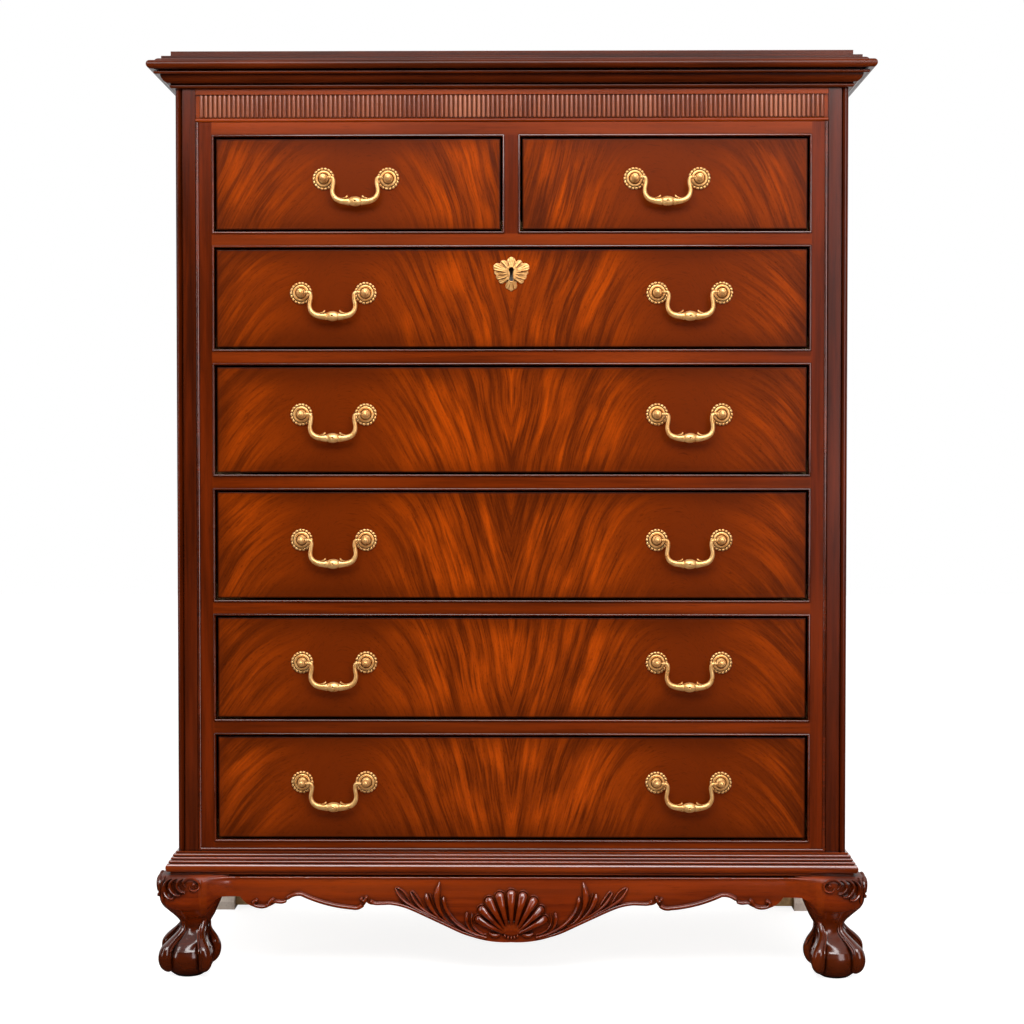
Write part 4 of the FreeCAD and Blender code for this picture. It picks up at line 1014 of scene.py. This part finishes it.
def build_brass():
    for name in DRAWERS:
        low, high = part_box("posts_" + name)
        z = (low[2] + high[2]) / 2
        posts = []
        for node in [n for n in frame["nodes"] if n.startswith("bail_" + name)]:
            low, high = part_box(node)
            x = (low[0] + high[0]) / 2
            posts += [handle_post(x - SPACING / 2, z), handle_post(x + SPACING / 2, z)]
            piece("swan_neck_" + node, bail(x, z), node, BRASS, [node])
        piece("rosettes_and_knobs_" + name, joined(posts), "drawer_" + name, BRASS,
              ["posts_" + name])
    piece("shell_escutcheon", shell_escutcheon(), "drawer_long_1", SHADED_BRASS,
          ["escutcheon"], 50.0)


# ==== legs ================================================================================
# Heights above the floor, how far the leg reaches out from the case corner and in from it,
# and how square its section is on the outer corner and on the inner sides (2 is round).
LEG_SECTIONS = np.array([
    (155.4, 15, -67, 3.4, 2.2), (154.5, 22, -67, 3.4, 2.2), (152.5, 26, -67, 3.4, 2.2),
    (149, 28.2, -67, 3.3, 2.2), (142, 29.1, -67, 3.2, 2.2), (131, 29.4, -66.8, 3, 2.2),
    (124, 29.8, -66, 2.9, 2.2), (118, 29.8, -64, 2.8, 2.2), (112, 28.4, -61.7, 2.7, 2.2),
    (106, 25.2, -59.2, 2.6, 2.2), (101, 20.8, -56.8, 2.5, 2.2), (96, 16, -54.5, 2.4, 2.2),
    (91, 11.3, -52.2, 2.3, 2.2), (86, 6.9, -49.9, 2.2, 2.2), (80, 4, -47.9, 2.1, 2.1),
    (72, 3.6, -47, 2.1, 2.1),
]) * (MM, MM, MM, 1, 1)
LEG_STATIONS = through(LEG_SECTIONS, 5)
LEG_TOP = LEG_SECTIONS[0][0]
ANKLE = (LEG_SECTIONS[14][1] + LEG_SECTIONS[14][2]) / 2  # the ankle's axis from the case corner
BALL_MIDDLE = -0.0135         # axis of the ball from the case corner
BALL = (0.038, 0.0322, 0.027)  # radius, half-height, height of its middle
# Along a toe: height, share of the way from the ankle's axis to the ball's, distance from
# that axis both sideways and forwards, half-width, half-depth, squareness, and how much
# further the two side toes spread.
TOE = np.array([
    (98, 0, 17, 0.6, 0.6, 2, 0), (90, 0, 16.6, 1.8, 1.2, 2.1, 0.6), (80, 0, 15.6, 3.4, 2.8, 2.2, 3),
    (72, 0.1, 14.6, 4.4, 4.2, 2.3, 6.6), (66, 0.28, 15, 5.2, 5, 2.4, 8.6),
    (60, 0.5, 18, 5.7, 5.5, 2.4, 9.4), (54, 0.7, 22, 6.4, 6.2, 2.4, 9.8),
    (47, 0.88, 26.4, 7.8, 7.4, 2.3, 9.2), (42, 1, 28.8, 9.2, 8.6, 2.2, 8),
    (36, 1, 30.2, 10.1, 9.4, 2.1, 7), (30, 1, 30.7, 10.4, 9.7, 2, 6), (24, 1, 30.2, 10, 9.4, 2, 4.8),
    (19, 1, 28.6, 9, 8.5, 2, 3.6), (15, 1, 26.4, 7.2, 6.8, 2, 2.6), (12.2, 1, 24.4, 4.8, 4.6, 2, 1.8),
    (10.6, 1, 23.2, 2, 2, 2, 1.4),
]) * (MM, 1, MM, MM, MM, 1, MM)
TOE_STATIONS = through(TOE, 5)
# Way that each toe points, out and forwards, and the shares of the spread that it takes.
TOES = ((1, 1, 0, 0), (-1, 1, 0, 1), (-1, -1, 0.4, 0.2), (1, -1, 1, 0))
# Web between the toes: height and how far the middle of each face bulges past its corners.
WEB = MM * np.array([
    (96, 7.4), (80, 7), (72, 5.2), (64, 3), (59, 2), (56.5, 1.8), (54, 2.6), (51, 3.6), (47, 4.6),
    (41.5, 5.4),
])
WEB_HEIGHTS = (0.088, 0.016)  # where the leg's oval starts to turn into the web, over what height
BALL_HEIGHTS = (0.0575, 0.016)  # and the web into the ball
WEB_SUNK = 0.0016             # the web meets a tendon this far behind the tendon's middle
WEB_BEAD = (0.0009, 0.0016)   # half-width and relief of the bead beside a tendon
WEB_BEAD_GAP = 0.0012
WEB_BEAD_LIFT = 0.0001
SKIN_STEPS = 18               # points from a tendon to the web's middle
SMOOTHINGS = 26
KNEE_DEPTH = (1.8, 1.2)       # shares of relief on the knee's front and on its side
KNEE_EYE = (0.0027, 0.0046, 0.0027)
KNEE_EYE_PLACE = (-0.0284, 0.1440)
# Ridges of the knee: distance out from the case corner, height, half-width, relief.
KNEE_RIDGES = [
    [(-17.4, 140, 0.6, 0.6), (-13.6, 144.5, 1.4, 1.8), (-12.8, 148.8, 1.8, 2.6), (-16, 152.2, 2, 3),
     (-21.8, 153.7, 2.1, 3.2), (-28, 153.2, 2.1, 3.2), (-33.4, 150, 2, 3), (-36, 145, 2, 2.8),
     (-35, 139.6, 1.9, 2.6), (-31, 136.2, 1.8, 2.4), (-25.8, 135.8, 1.6, 2.2), (-22.4, 138.8, 1.3, 1.8),
     (-22, 143.2, 0.9, 1)],
    [(-12.8, 153.8, 0.6, 0.8), (-7.6, 151.8, 2, 2.8), (-4.2, 147.8, 2.6, 3.6), (-3.6, 142.8, 2.7, 3.6),
     (-6.2, 137.4, 2.4, 3.2), (-10.6, 133.8, 1.9, 2.6), (-15.4, 133, 2.2, 2.6)],
    [(-3.6, 154.1, 0.6, 0.8), (2.4, 151.6, 2.1, 3), (5.9, 147, 2.7, 3.8), (6.6, 141.4, 2.8, 3.8),
     (4.2, 135.2, 2.5, 3.4), (0.2, 130, 2.1, 2.8), (-5, 127.6, 1.9, 2.6), (-8.8, 128.6, 2.1, 2.6)],
    [(5.2, 154.1, 0.6, 0.8), (11, 150.2, 2.1, 3), (14.4, 143.8, 2.6, 3.6), (15.2, 136.4, 2.7, 3.6),
     (14, 129.8, 2.5, 3.2), (10, 124.6, 2.1, 2.8), (5, 122.2, 1.9, 2.6), (1, 123.6, 2.1, 2.6)],
]
# Block inside the knee: how far it starts and ends from the case corner, and its underside.
KNEE_BLOCK = (0.012, 0.067, 0.128)
# Ridge down the knee's outer corner: height, half-width, relief.
CORNER_RIDGE = MM * np.array([
    (153.6, 0.8, 0.8), (149, 2.4, 3), (142, 3, 3.4), (133, 3, 3.4), (125, 2.4, 2.8), (119, 1.8, 2),
    (115, 0.8, 0.8),
])


def leg_at(z):
    """Middle, half-width, outer and inner squareness of the leg's section at a height."""
    level, outer, inner, square, inner_square = LEG_STATIONS[::-1].T
    out = np.interp(z, level, outer)
    back = np.interp(z, level, inner)
    return (out + back) / 2, (out - back) / 2, np.interp(z, level, square), np.interp(z, level, inner_square)


def beside_leg(out, forward, z):
    """Point at distances out and forward from the right front corner of the case."""
    return np.stack([HALF + out, FRONT_Y - forward, z], axis=-1)


def knee_front(u, z):
    """Point of the right leg's front face, u out from the case corner, at height z."""
    middle, half, square, inner_square = leg_at(z)
    power = np.where(u < middle, inner_square, square)
    share = np.clip(np.abs(u - middle) / half, 0, 0.999)
    return beside_leg(u, middle + half * (1 - share ** power) ** (1 / power), z + 0 * u)


def knee_side(u, z):
    """The same face turned over the leg's diagonal to its outer side."""
    front = knee_front(u, z)
    return beside_leg(FRONT_Y - front[..., 1], front[..., 0] - HALF, front[..., 2])


def toe_place(level, way):
    """Middle of a toe at some heights, as distances out and forward from the case corner."""
    stations = TOE_STATIONS[::-1].T
    share, reach, spread = (np.interp(level, stations[0], stations[column]) for column in (1, 2, 6))
    middle = ANKLE + share * (BALL_MIDDLE - ANKLE)
    return middle + way[0] * (reach + way[2] * spread), middle + way[1] * (reach + way[3] * spread)


def oval_section(level, turn):
    """Section |cos|^p + |sin|^p of the leg at some heights, as (out, forward) points."""
    middle, half, square, inner_square = leg_at(level[:, None])
    c = np.cos(turn)[None]
    s = np.sin(turn)[None]
    power = np.where((c > 0) & (s > 0), square, inner_square)
    reach = half / (np.abs(c) ** power + np.abs(s) ** power) ** (1 / power)
    return np.stack([middle + reach * c, middle + reach * s], axis=-1)


def web_section(level):
    """Smooth closed line through the four tendons and a bulging point between each two."""
    bulge = np.interp(level, *WEB[::-1].T)[:, None]
    corners = [np.stack(toe_place(level, way), axis=-1) for way in TOES]
    corners = [c - WEB_SUNK * unit(c - BALL_MIDDLE) for c in corners]
    core = sum(corners) / 4
    ring = []
    for here, following in zip(corners, corners[1:] + corners[:1]):
        between = (here + following) / 2
        ring += [here, between + bulge * unit(between - core)]
    ring = np.stack(ring, axis=1)
    t = (np.arange(SKIN_STEPS) / SKIN_STEPS)[None, None, :, None]
    line = catmull_rom(*(np.roll(ring, 1 - k, axis=1)[:, :, None, :] for k in range(4)), t)
    return line.reshape(len(level), -1, 2)


def ball_section(z, turn):
    """Circle of the ball at some heights; above the ball it stays a point."""
    radius = BALL[0] * np.sqrt(np.clip(1 - ((z - BALL[2]) / BALL[1]) ** 2, 0, 1))[:, None]
    return BALL_MIDDLE + np.stack([radius * np.cos(turn), radius * np.sin(turn)], axis=-1)


def leg_core():
    """Leg, web and ball in one skin.

    Over WEB_HEIGHTS the leg's oval section turns into the web's section as 3t^2 - 2t^3, and
    over BALL_HEIGHTS the web's section into the ball's circle. From the ankle to the ball's
    shoulder the skin is then smoothed with its neighbours above, below and beside."""
    turn = np.pi / 4 + around(8 * SKIN_STEPS)
    level = np.concatenate([LEG_STATIONS[LEG_STATIONS[:, 0] > 0.0905, 0], np.linspace(0.0900, 0.0415, 44)])
    share = smooth_share((WEB_HEIGHTS[0] - level) / WEB_HEIGHTS[1])[:, None, None]
    section = oval_section(level, turn) * (1 - share) + web_section(level) * share
    share = smooth_share((BALL_HEIGHTS[0] - level) / BALL_HEIGHTS[1])[:, None, None]
    section = section * (1 - share) + share * ball_section(np.minimum(level, 0.058), turn)
    foot = np.linspace(0.0410, 0.0, 26)
    section = np.concatenate([section, ball_section(foot, turn)])
    level = np.concatenate([level, foot])
    low = np.flatnonzero((level < 0.089) & (level > 0.034))
    for _ in range(SMOOTHINGS):
        section[low] = (section[low - 1] + 2 * section[low] + section[low + 1]) / 4
        section = (np.roll(section, 1, axis=1) + 2 * section + np.roll(section, -1, axis=1)) / 4
    return bar(beside_leg(section[..., 0], section[..., 1], level[:, None] + 0 * section[..., 0]))


def toe(way):
    """One toe with its tendon, swept from the ankle's corner over the ball to the talon."""
    level = TOE_STATIONS[:, 0]
    wide, thick, square = TOE_STATIONS[:, 3:6].T
    path = beside_leg(*toe_place(level, way), level)
    up = np.broadcast_to([way[0], -way[1], 0.0], path.shape)
    return tube(path, wide, thick, up, 20, square)


def web_beads(way):
    """Thin bead on each side of a tendon, where the web begins."""
    beside_web = (TOE_STATIONS[:, 0] < 0.079) & (TOE_STATIONS[:, 0] > 0.0405)
    level = TOE_STATIONS[beside_web, 0]
    wide = TOE_STATIONS[beside_web, 3]
    out, forward = toe_place(level, way)
    fade = np.sin(np.linspace(0.12, np.pi - 0.5, len(level))) ** 0.5
    diagonal = math.sqrt(0.5)
    up = np.broadcast_to(np.array([way[0], -way[1], 0.0]) * diagonal, (len(level), 3))
    beads = []
    for side in (-1, 1):
        away = side * (wide + WEB_BEAD_GAP) * diagonal
        path = beside_leg(out + away * way[0], forward - away * way[1], level)
        beads.append(tube(path + WEB_BEAD_LIFT * up, WEB_BEAD[0] * fade, WEB_BEAD[1] * fade, up, 8))
    return beads


def corner_line():
    """Ridge down the outer corner of the knee, between the two carved faces."""
    level, across, height = through(CORNER_RIDGE, 7).T
    middle, half, square, _ = leg_at(level)
    out = middle + half * 0.5 ** (1 / square)
    path = beside_leg(out, out, level)
    up = np.broadcast_to(np.sqrt(0.5) * np.array([1.0, -1.0, 0.0]), path.shape)
    return tube(path, across, height, up, 12)


def knob_on(surface, first, second, radii, sides=20):
    """Knob whose middle lies on a surface."""
    return knob(surface(np.array([first]), np.array([second]))[0], radii, sides)


def knee_ridge(line, surface, depth):
    """Ruffle of the knee: a ridge with a bold crest, kept below the moulding."""
    line = MM * np.array(line) * (1, 1, 0.9, depth)
    line[:, 1] -= 0.09 * np.maximum(line[:, 1] - 0.125, 0)
    points, faces = ridge(line, surface)
    return np.minimum(points, (np.inf, np.inf, BASE_LOW[2])), faces


def carved_leg():
    """The right leg: skin, block behind the base moulding, toes and the carving of the knee."""
    near, far, foot = KNEE_BLOCK
    parts = [leg_core(), block((HALF - far, FRONT_Y + near, foot), (HALF - near, FRONT_Y + far, LEG_TOP))]
    for way in TOES:
        parts.append(toe(way))
        parts += web_beads(way)
    for surface, depth, order in ((knee_front, KNEE_DEPTH[0], 1), (knee_side, KNEE_DEPTH[1], -1)):
        parts += [knee_ridge(line[::order], surface, depth) for line in KNEE_RIDGES]
        parts.append(knob_on(surface, *KNEE_EYE_PLACE, KNEE_EYE))
    return joined(parts + [corner_line()])


def build_legs():
    right = carved_leg()
    for side, leg in (("right", right), ("left", mirrored(right))):
        name = "ball_and_claw_leg_" + side
        case_piece(name, leg, CARVED_WOOD, "leg_front_" + side, 40.0)


# ==== apron ===============================================================================
EDGE_BEAD = 0.0024            # half-width of the bead along the apron's lower edge
APRON_HALF = 0.433
EAR = 0.033                   # each end of the apron runs this far over the leg
BLEND_END = 0.040             # the apron's face has become the knee's this far inside the corner
BLEND_RUN = 0.052
CARVING = (1.0, 1.0, 1.4, 1.7)  # shares by which strokes are drawn wider and bolder
APRON_TOP = 0.1554
APRON_BACK = FRONT_Y + 0.016
# Right half of the lower edge, from the leg to the middle: distance out from the middle, height.
APRON_EDGE = outline((0.4600, 0.0965), [
    ((0.4514, 0.1100), (APRON_HALF, 0.1222)), (0.4059, 0.1215), ((0.3751, 0.1040), (0.3531, 0.1115)),
    (0.3389, 0.1115), ((0.3300, 0.1200), (0.3141, 0.1230)), ((0.2690, 0.1075), (0.2379, 0.1028)),
    ((0.2240, 0.1050), (0.2169, 0.1131)), ((0.2119, 0.1100), (0.2076, 0.1092)), (0.1800, 0.1098),
    ((0.1500, 0.1025), (0.1160, 0.0867)), (0.0760, 0.0675), ((0.0400, 0.0558), (0.0, 0.0530)),
], 14)
# Section of the apron's face: height, distance in front of the face frame.
APRON_PROFILE = through(MM * np.array([
    (50, 6.4), (100, 7.2), (118, 7.9), (130, 8), (140, 7.4), (146.2, 6.4), (147.8, 6.6), (148.7, 8),
    (149.8, 8.8), (151, 8.2), (151.9, 6.6), (152.7, 4.6), (155.4, 3.6),
]), 4)


def apron_low(x):
    """Height of the apron's lower edge at a distance from the middle."""
    return np.interp(np.abs(x), APRON_EDGE[::-1, 0], APRON_EDGE[::-1, 1])


def apron_face(x, z):
    """Point of the apron's front face: it swells gently and rolls back at its top edge.

    Towards each leg it follows the cubic curve that starts level with the apron and meets
    the knee's face at the knee's own slope."""
    own = np.interp(z, APRON_PROFILE[:, 0], APRON_PROFILE[:, 1])
    t = np.clip((np.abs(x) - HALF + BLEND_END + BLEND_RUN) / BLEND_RUN, 0, 1)
    here = -BLEND_END + 0 * (x + z)
    tiny = 0.001
    knee = FRONT_Y - knee_front(here, z + 0 * x)[..., 1]
    slope = (FRONT_Y - knee_front(here + tiny, z + 0 * x)[..., 1] - knee) / tiny
    share = smooth_share(t)
    out = own * (1 - share) + knee * share + slope * BLEND_RUN * (t ** 3 - t ** 2)
    return np.stack([x + 0 * z, FRONT_Y - out, z + 0 * x], axis=-1)


def apron_board():
    """Board between its scalloped lower edge and a straight top: rows of heights at each x."""
    reach = APRON_HALF + EAR
    x = np.unique(np.concatenate([np.linspace(-reach, reach, 420), APRON_EDGE[:, 0], -APRON_EDGE[:, 0]]))
    share = np.concatenate([np.linspace(0, 0.85, 22), np.linspace(0.87, 1, 18)])
    low = apron_low(x)[:, None]
    front = apron_face(x[:, None], low + (APRON_TOP - low) * share[None])
    back = np.full_like(x, APRON_BACK)
    behind = [np.stack([x, back, z], axis=-1)[:, None] for z in (np.full_like(x, APRON_TOP), low[:, 0])]
    return bar(np.concatenate([front] + behind, axis=1), flip=True)


def beside_edge(start, end, inset, wide, relief):
    """Stations of a bead that keeps a fixed distance from the lower edge, right side."""
    line = APRON_EDGE[(APRON_EDGE[:, 0] <= start) & (APRON_EDGE[:, 0] >= end)]
    toward = unit(np.gradient(line, axis=0))
    path = line + inset * np.stack([toward[:, 1], -toward[:, 0]], axis=-1)
    return np.column_stack([path, np.full(len(path), wide), np.full(len(path), relief)])


def on_apron(line, **options):
    """Ridge carved on the apron's face."""
    return ridge(line * CARVING, apron_face, square=2.1, **options)


# Leaves of one spray and strokes of the scrolls: distance out from the middle, height,
# half-width, relief, from tip to root.
STROKES = [
    [(173.8, 135.2, 0.8, 1.2), (169, 126.2, 1.6, 2.8), (161.6, 117.6, 1.9, 3.2), (151.2, 110.2, 1.9, 3.2),
     (138.8, 103, 1.8, 3), (124, 95.8, 1.7, 2.8), (108.6, 89.2, 1.3, 2), (96, 83, 0.8, 1.2)],
    [(173.6, 135.4, 0.6, 1), (169, 135, 0.9, 1.8), (161.2, 129.8, 1.1, 2), (155.2, 121.6, 1.2, 2),
     (150.2, 113, 0.9, 1.4), (147, 108.2, 0.5, 0.8)],
    [(151.2, 129, 0.8, 1.2), (146.2, 119.8, 1.7, 3), (140, 111.4, 1.9, 3.3), (132.2, 103.8, 1.9, 3.2),
     (121.2, 96.2, 1.8, 3), (110, 89.8, 1.4, 2.2), (100, 84.2, 0.8, 1.2)],
    [(150.8, 129.6, 0.6, 1), (146.8, 130, 0.9, 1.8), (142, 124, 1.1, 2), (136, 115, 1.2, 2),
     (130.2, 104.6, 0.7, 1.2)],
    [(126.8, 126.8, 1.6, 2.2), (126.2, 121, 2.9, 4), (122.8, 111.4, 2.9, 4), (116.8, 101.2, 2.4, 3.6),
     (109, 92, 1.9, 3), (100, 84.8, 1.3, 2), (90, 79, 0.8, 1.2)],
    [(122.2, 127, 0.8, 1.4), (119.6, 120, 1.1, 2), (115.8, 111, 1, 1.8), (112, 104, 0.6, 1)],
    [(107.2, 143.4, 1, 1.6), (109.6, 134, 2.6, 3.8), (111.2, 124, 3.6, 4.4), (110.4, 114, 3.2, 4.2),
     (107.8, 104, 2.4, 3.6), (102.2, 93, 2, 3.2), (94.4, 84.2, 1.6, 2.6), (84.6, 77.6, 0.9, 1.4)],
    [(101, 122, 1.4, 2), (101, 116, 2.2, 3.6), (98.8, 107.2, 2.1, 3.6), (93.8, 97, 2, 3.5),
     (86.2, 86.8, 2, 3.5), (76.2, 78, 2, 3.4), (64, 70.6, 2, 3.4), (51.4, 65, 2, 3.2),
     (37.2, 60.6, 1.8, 2.8)],
    [(65.8, 98.8, 1.4, 2), (67, 91, 2.1, 3.4), (65.7, 82, 1.9, 3.2), (62.6, 74.8, 1.5, 2.4),
     (58.4, 70, 0.9, 1.2)],
    [(58.2, 97.6, 0.7, 1.2), (60, 88, 1, 1.8), (58.3, 79.5, 1.1, 2), (52.7, 72.2, 1.2, 2.2),
     (44.2, 66.8, 1.2, 2.2), (37.2, 65, 0.8, 1.4)],
    [(382, 115.8, 1.8, 2.4), (385.8, 113.2, 1.9, 2.6), (383.8, 108.4, 2.1, 2.8), (373.2, 106.4, 2.2, 3),
     (364.4, 108.6, 2.1, 2.8), (359.8, 114.6, 2.2, 2.8), (356.6, 116.8, 2.6, 3)],
    [(359, 114, 1.4, 1.8), (350, 114, 2.1, 2.8), (343, 113.6, 2.1, 2.8), (337.2, 115, 1.8, 2.4)],
    [(223.6, 117.6, 1.4, 2), (220, 115.2, 2, 2.6), (217.2, 119, 2.1, 2.6)],
    [(209.2, 114, 2.4, 3), (203, 111.8, 2.1, 2.8), (192, 112, 2.1, 2.8), (180, 112.1, 2.1, 2.8),
     (164, 109.2, 2.1, 2.8), (148, 103.4, 2.1, 2.8), (130, 95.2, 2.1, 2.8), (112, 86.8, 2.1, 2.8),
     (94, 78.4, 2.1, 2.8), (74, 69, 2, 2.6), (56, 62.8, 1.8, 2.4), (40, 58.8, 1.4, 1.8)],
]
SCROLL_KNOBS = MM * np.array([
    (381.6, 116), (356.4, 117.2), (224, 118.6), (216.8, 120.8), (209, 114.6),
])
SCROLL_KNOB = (0.0031, 0.0058, 0.0031)
# Lobes of the shell: tip and root as distance out from the middle and height, half-width.
LOBES = [
    ((0, 133.8), (0, 72), 7.4), ((19.2, 130.3), (4.6, 72.2), 7.3), ((36.8, 122.3), (8.4, 71.4), 7.2),
    ((48.6, 107.8), (10.4, 69.4), 6.6), ((54.6, 91.2), (11.8, 67.4), 6.6),
]
LOBE_CREST = 0.64             # share of the way from root to tip where a lobe stands highest
LOBE_RELIEF = (0.0032, 0.0074)  # relief at the root, and the rise to the crest
# Lip rolled over at each side of the shell's foot, its middle boss and the beads under it.
SHELL_LIP = MM * np.array([
    (33, 67.2, 1.4, 2), (27.6, 64.5, 2.6, 3.6), (22.2, 64, 2.8, 3.8), (17, 65.4, 1.6, 2.4),
])
SHELL_BOSS = (0.0158, 0.0046, 0.0136)
SHELL_BOSS_HEIGHT = 0.0742
SHELL_BEADS = (-0.0094, -0.0048, 0.0, 0.0048, 0.0094)
LOWEST_BEAD = 0.0606
SHELL_BEAD = (0.0023, 0.0058, 0.0030)


def lobe(tip, root, wide):
    """Drop-shaped lobe: its half-width grows from the root and closes as a half circle.

    Its relief rises as a sine up to LOBE_CREST and falls again towards the tip."""
    run = np.linalg.norm(tip - root)
    start = 1 - wide / run
    round_end = 1 - (1 - start) * (1 - np.sin(np.linspace(0.12, 1.5, 12)))
    along = np.concatenate([np.linspace(0, start, 12), round_end])
    swell = 0.36 + 0.64 * (along * run / (run - wide)).clip(0, 1) ** 0.9
    past = ((along * run - (run - wide)) / wide).clip(0, 1)
    closing = np.sqrt(np.clip(1 - past ** 2, 0.002, 1))
    rise = np.sin(np.pi / 2 * np.clip(along / LOBE_CREST, 0, 1))
    fall = 1 - 0.72 * np.clip((along - LOBE_CREST) / (1 - LOBE_CREST), 0, 1) ** 1.3
    relief = (LOBE_RELIEF[0] + LOBE_RELIEF[1] * rise) * fall
    place = root + (tip - root) * along[:, None]
    return np.column_stack([place, wide * swell * closing, relief * closing])


def lobe_outline(tip, root, wide):
    """Thin ridge that runs up one side of a lobe, round its tip and down the other side."""
    along = unit(tip - root)
    across = np.array([along[1], -along[0]])
    gap = wide + 0.0008
    turn = np.linspace(-np.pi / 2, np.pi / 2, 9)[:, None]
    round_tip = tip - along * wide + gap * (np.cos(turn) * along + np.sin(turn) * across)
    low = root + (tip - root) * np.array([0.35, 0.6, 0.8])[:, None]
    reach = gap * np.array([0.62, 0.76, 0.92])[:, None]
    line = np.vstack([low - across * reach, round_tip[1:-1], (low + across * reach)[::-1]])
    fade = np.sin(np.linspace(0.25, np.pi - 0.25, len(line))) ** 0.5
    return np.column_stack([line, 0.0007 * fade, 0.0017 * fade])


def lobe_body(line):
    """Lobe through its stations as they stand, its height measured straight forwards."""
    path = apron_face(line[:, 0], line[:, 1])
    up = np.broadcast_to(TOWARDS_FRONT, path.shape)
    return tube(path, line[:, 2], line[:, 3], up, 16, 2.3)


def carved_shell():
    """Fan of lobes, each in a thin outline, over a boss, two lips and a row of beads."""
    lip = on_apron(SHELL_LIP)
    parts = [lip, mirrored(lip), knob_on(apron_face, 0.0, SHELL_BOSS_HEIGHT, SHELL_BOSS, 28)]
    for number, drawn in enumerate(LOBES):
        ends = [MM * np.array(part) for part in drawn]
        one = [lobe_body(lobe(*ends)), on_apron(lobe_outline(*ends), steps=3, sides=8)]
        parts += one
        if number:
            parts += [mirrored(p) for p in one]
    for place in SHELL_BEADS:
        parts.append(knob_on(apron_face, place, LOWEST_BEAD + 30 * place ** 2, SHELL_BEAD))
    return joined(parts)


def apron_carving():
    """Leaf sprays, scrolls and the bead along the scalloped edge, worked on both sides."""
    right = [on_apron(MM * np.array(line)) for line in STROKES]
    right.append(on_apron(beside_edge(0.3345, 0.2200, EDGE_BEAD, EDGE_BEAD, 0.0030), steps=2))
    right += [knob_on(apron_face, x, z, SCROLL_KNOB) for x, z in SCROLL_KNOBS]
    return joined(right + [mirrored(p) for p in right] + [carved_shell()])


def build_apron():
    board = apron_board()
    carving = apron_carving()
    case_piece("scalloped_apron", board, CARVED_WOOD, "front_apron", 50.0)
    case_piece("apron_shell_and_leaf_sprays", carving, CARVED_WOOD, "apron_carving", 50.0)


# ==== room ================================================================================
WHITE = (1.0, 1.0, 1.0, 1.0)
FLOOR_HALF = 8.0


def floor():
    """Pale floor, plain white where nothing shades it; the polish mirrors it dark in front of
    the chest and pale behind it."""
    material, n, shader, place = new_material("pale floor")
    ray = n.put("ShaderNodeLightPath").outputs
    gloss = n.math("MAXIMUM", ray["Is Glossy Ray"], ray["Is Transmission Ray"])
    behind = n.split(place)[1]
    near = n.times(gloss, n.fade(behind, 0.4, 1.4))
    mirrored_floor = n.times(gloss, n.step(behind, 0.4, 1.4, 0.0, 0.6))
    seen_floor = n.times(ray["Is Camera Ray"], 0.86)
    n.fill(shader, {"Base Color": n.blend(near, linear(184, 183, 181), linear(44, 40, 38)), "Roughness": 0.9,
                    "Specular IOR Level": 0.0, "Emission Color": WHITE,
                    "Emission Strength": n.math("MAXIMUM", seen_floor, mirrored_floor)})
    s = FLOOR_HALF
    corners = np.array([[-s, -s, 0], [s, -s, 0], [s, s, 0], [-s, s, 0]])
    thing = new_object("studio_floor", (corners, [np.array([[0, 1, 2, 3]])]), material, 32.0)


def world():
    """White to the camera; to other rays pale behind the chest and dim in front of it."""
    sky = bpy.data.worlds.new("studio")
    bpy.context.scene.world = sky
    sky.use_nodes = True
    n = Nodes(sky.node_tree)
    way = n.split(n.put("ShaderNodeTexCoord").outputs["Generated"])
    diffuse = n.step(way[1], -0.25, 0.5, 0.22, 0.95)
    ceiling = n.step(way[2], 0.35, 0.8, 0.0, 0.5)
    mirrored_room = n.plus(ceiling, n.step(way[1], -0.1, 0.8, 0.015, 0.9))
    mirrored_room = n.math("MINIMUM", mirrored_room, 1.0)
    ray = n.put("ShaderNodeLightPath").outputs
    gloss = n.math("MAXIMUM", ray["Is Glossy Ray"], ray["Is Transmission Ray"])
    strength = n.put("ShaderNodeMix", {0: gloss, 2: diffuse, 3: mirrored_room}, data_type="FLOAT").outputs[0]
    n.fill(sky.node_tree.nodes["Background"], {
        "Strength": n.math("MAXIMUM", ray["Is Camera Ray"], strength), "Color": WHITE})


def lamp(name, place, target, size, power, colour=(1.0, 1.0, 1.0)):
    """Rectangular soft lamp that looks at a target."""
    light = bpy.data.lights.new(name, "AREA")
    light.shape = "RECTANGLE"
    light.size, light.size_y = size
    light.energy = power
    light.color = colour
    thing = bpy.data.objects.new(name, light)
    thing.location = place
    thing.rotation_euler = (Vector(target) - Vector(place)).to_track_quat("-Z", "Y").to_euler()
    bpy.context.scene.collection.objects.link(thing)


def lamps():
    lamp("overhead_soft_box", (0.0, -2.5, 2.6), (0.0, -0.2, 0.6), (2.6, 1.4), 88.0)
    lamp("right_panel", (1.9, -3.5, 1.4), (0.3, -0.2, 0.7), (1.6, 2.2), 38.0, (1.0, 0.91, 0.92))
    lamp("left_strip", (-2.5, -1.5, 1.3), (0.0, -0.1, 0.7), (0.35, 2.2), 12.0)


def camera():
    """Stands a little right of the middle, turned slightly back to it and tipped slightly down."""
    view = bpy.data.cameras.new("camera")
    view.lens = 66.1
    view.sensor_width = 36.0
    thing = bpy.data.objects.new("camera", view)
    thing.location = (0.031, FRONT_Y - 2.803, 0.768)
    thing.rotation_euler = Euler((math.radians(90 - 1.45), 0.0, 0.0107))
    bpy.context.scene.collection.objects.link(thing)
    bpy.context.scene.camera = thing


dress_case()
dress_fronts()
build_case()
build_brass()
build_legs()
build_apron()
floor()
world()
lamps()
camera()
bpy.context.scene.view_settings.view_transform = "Standard"
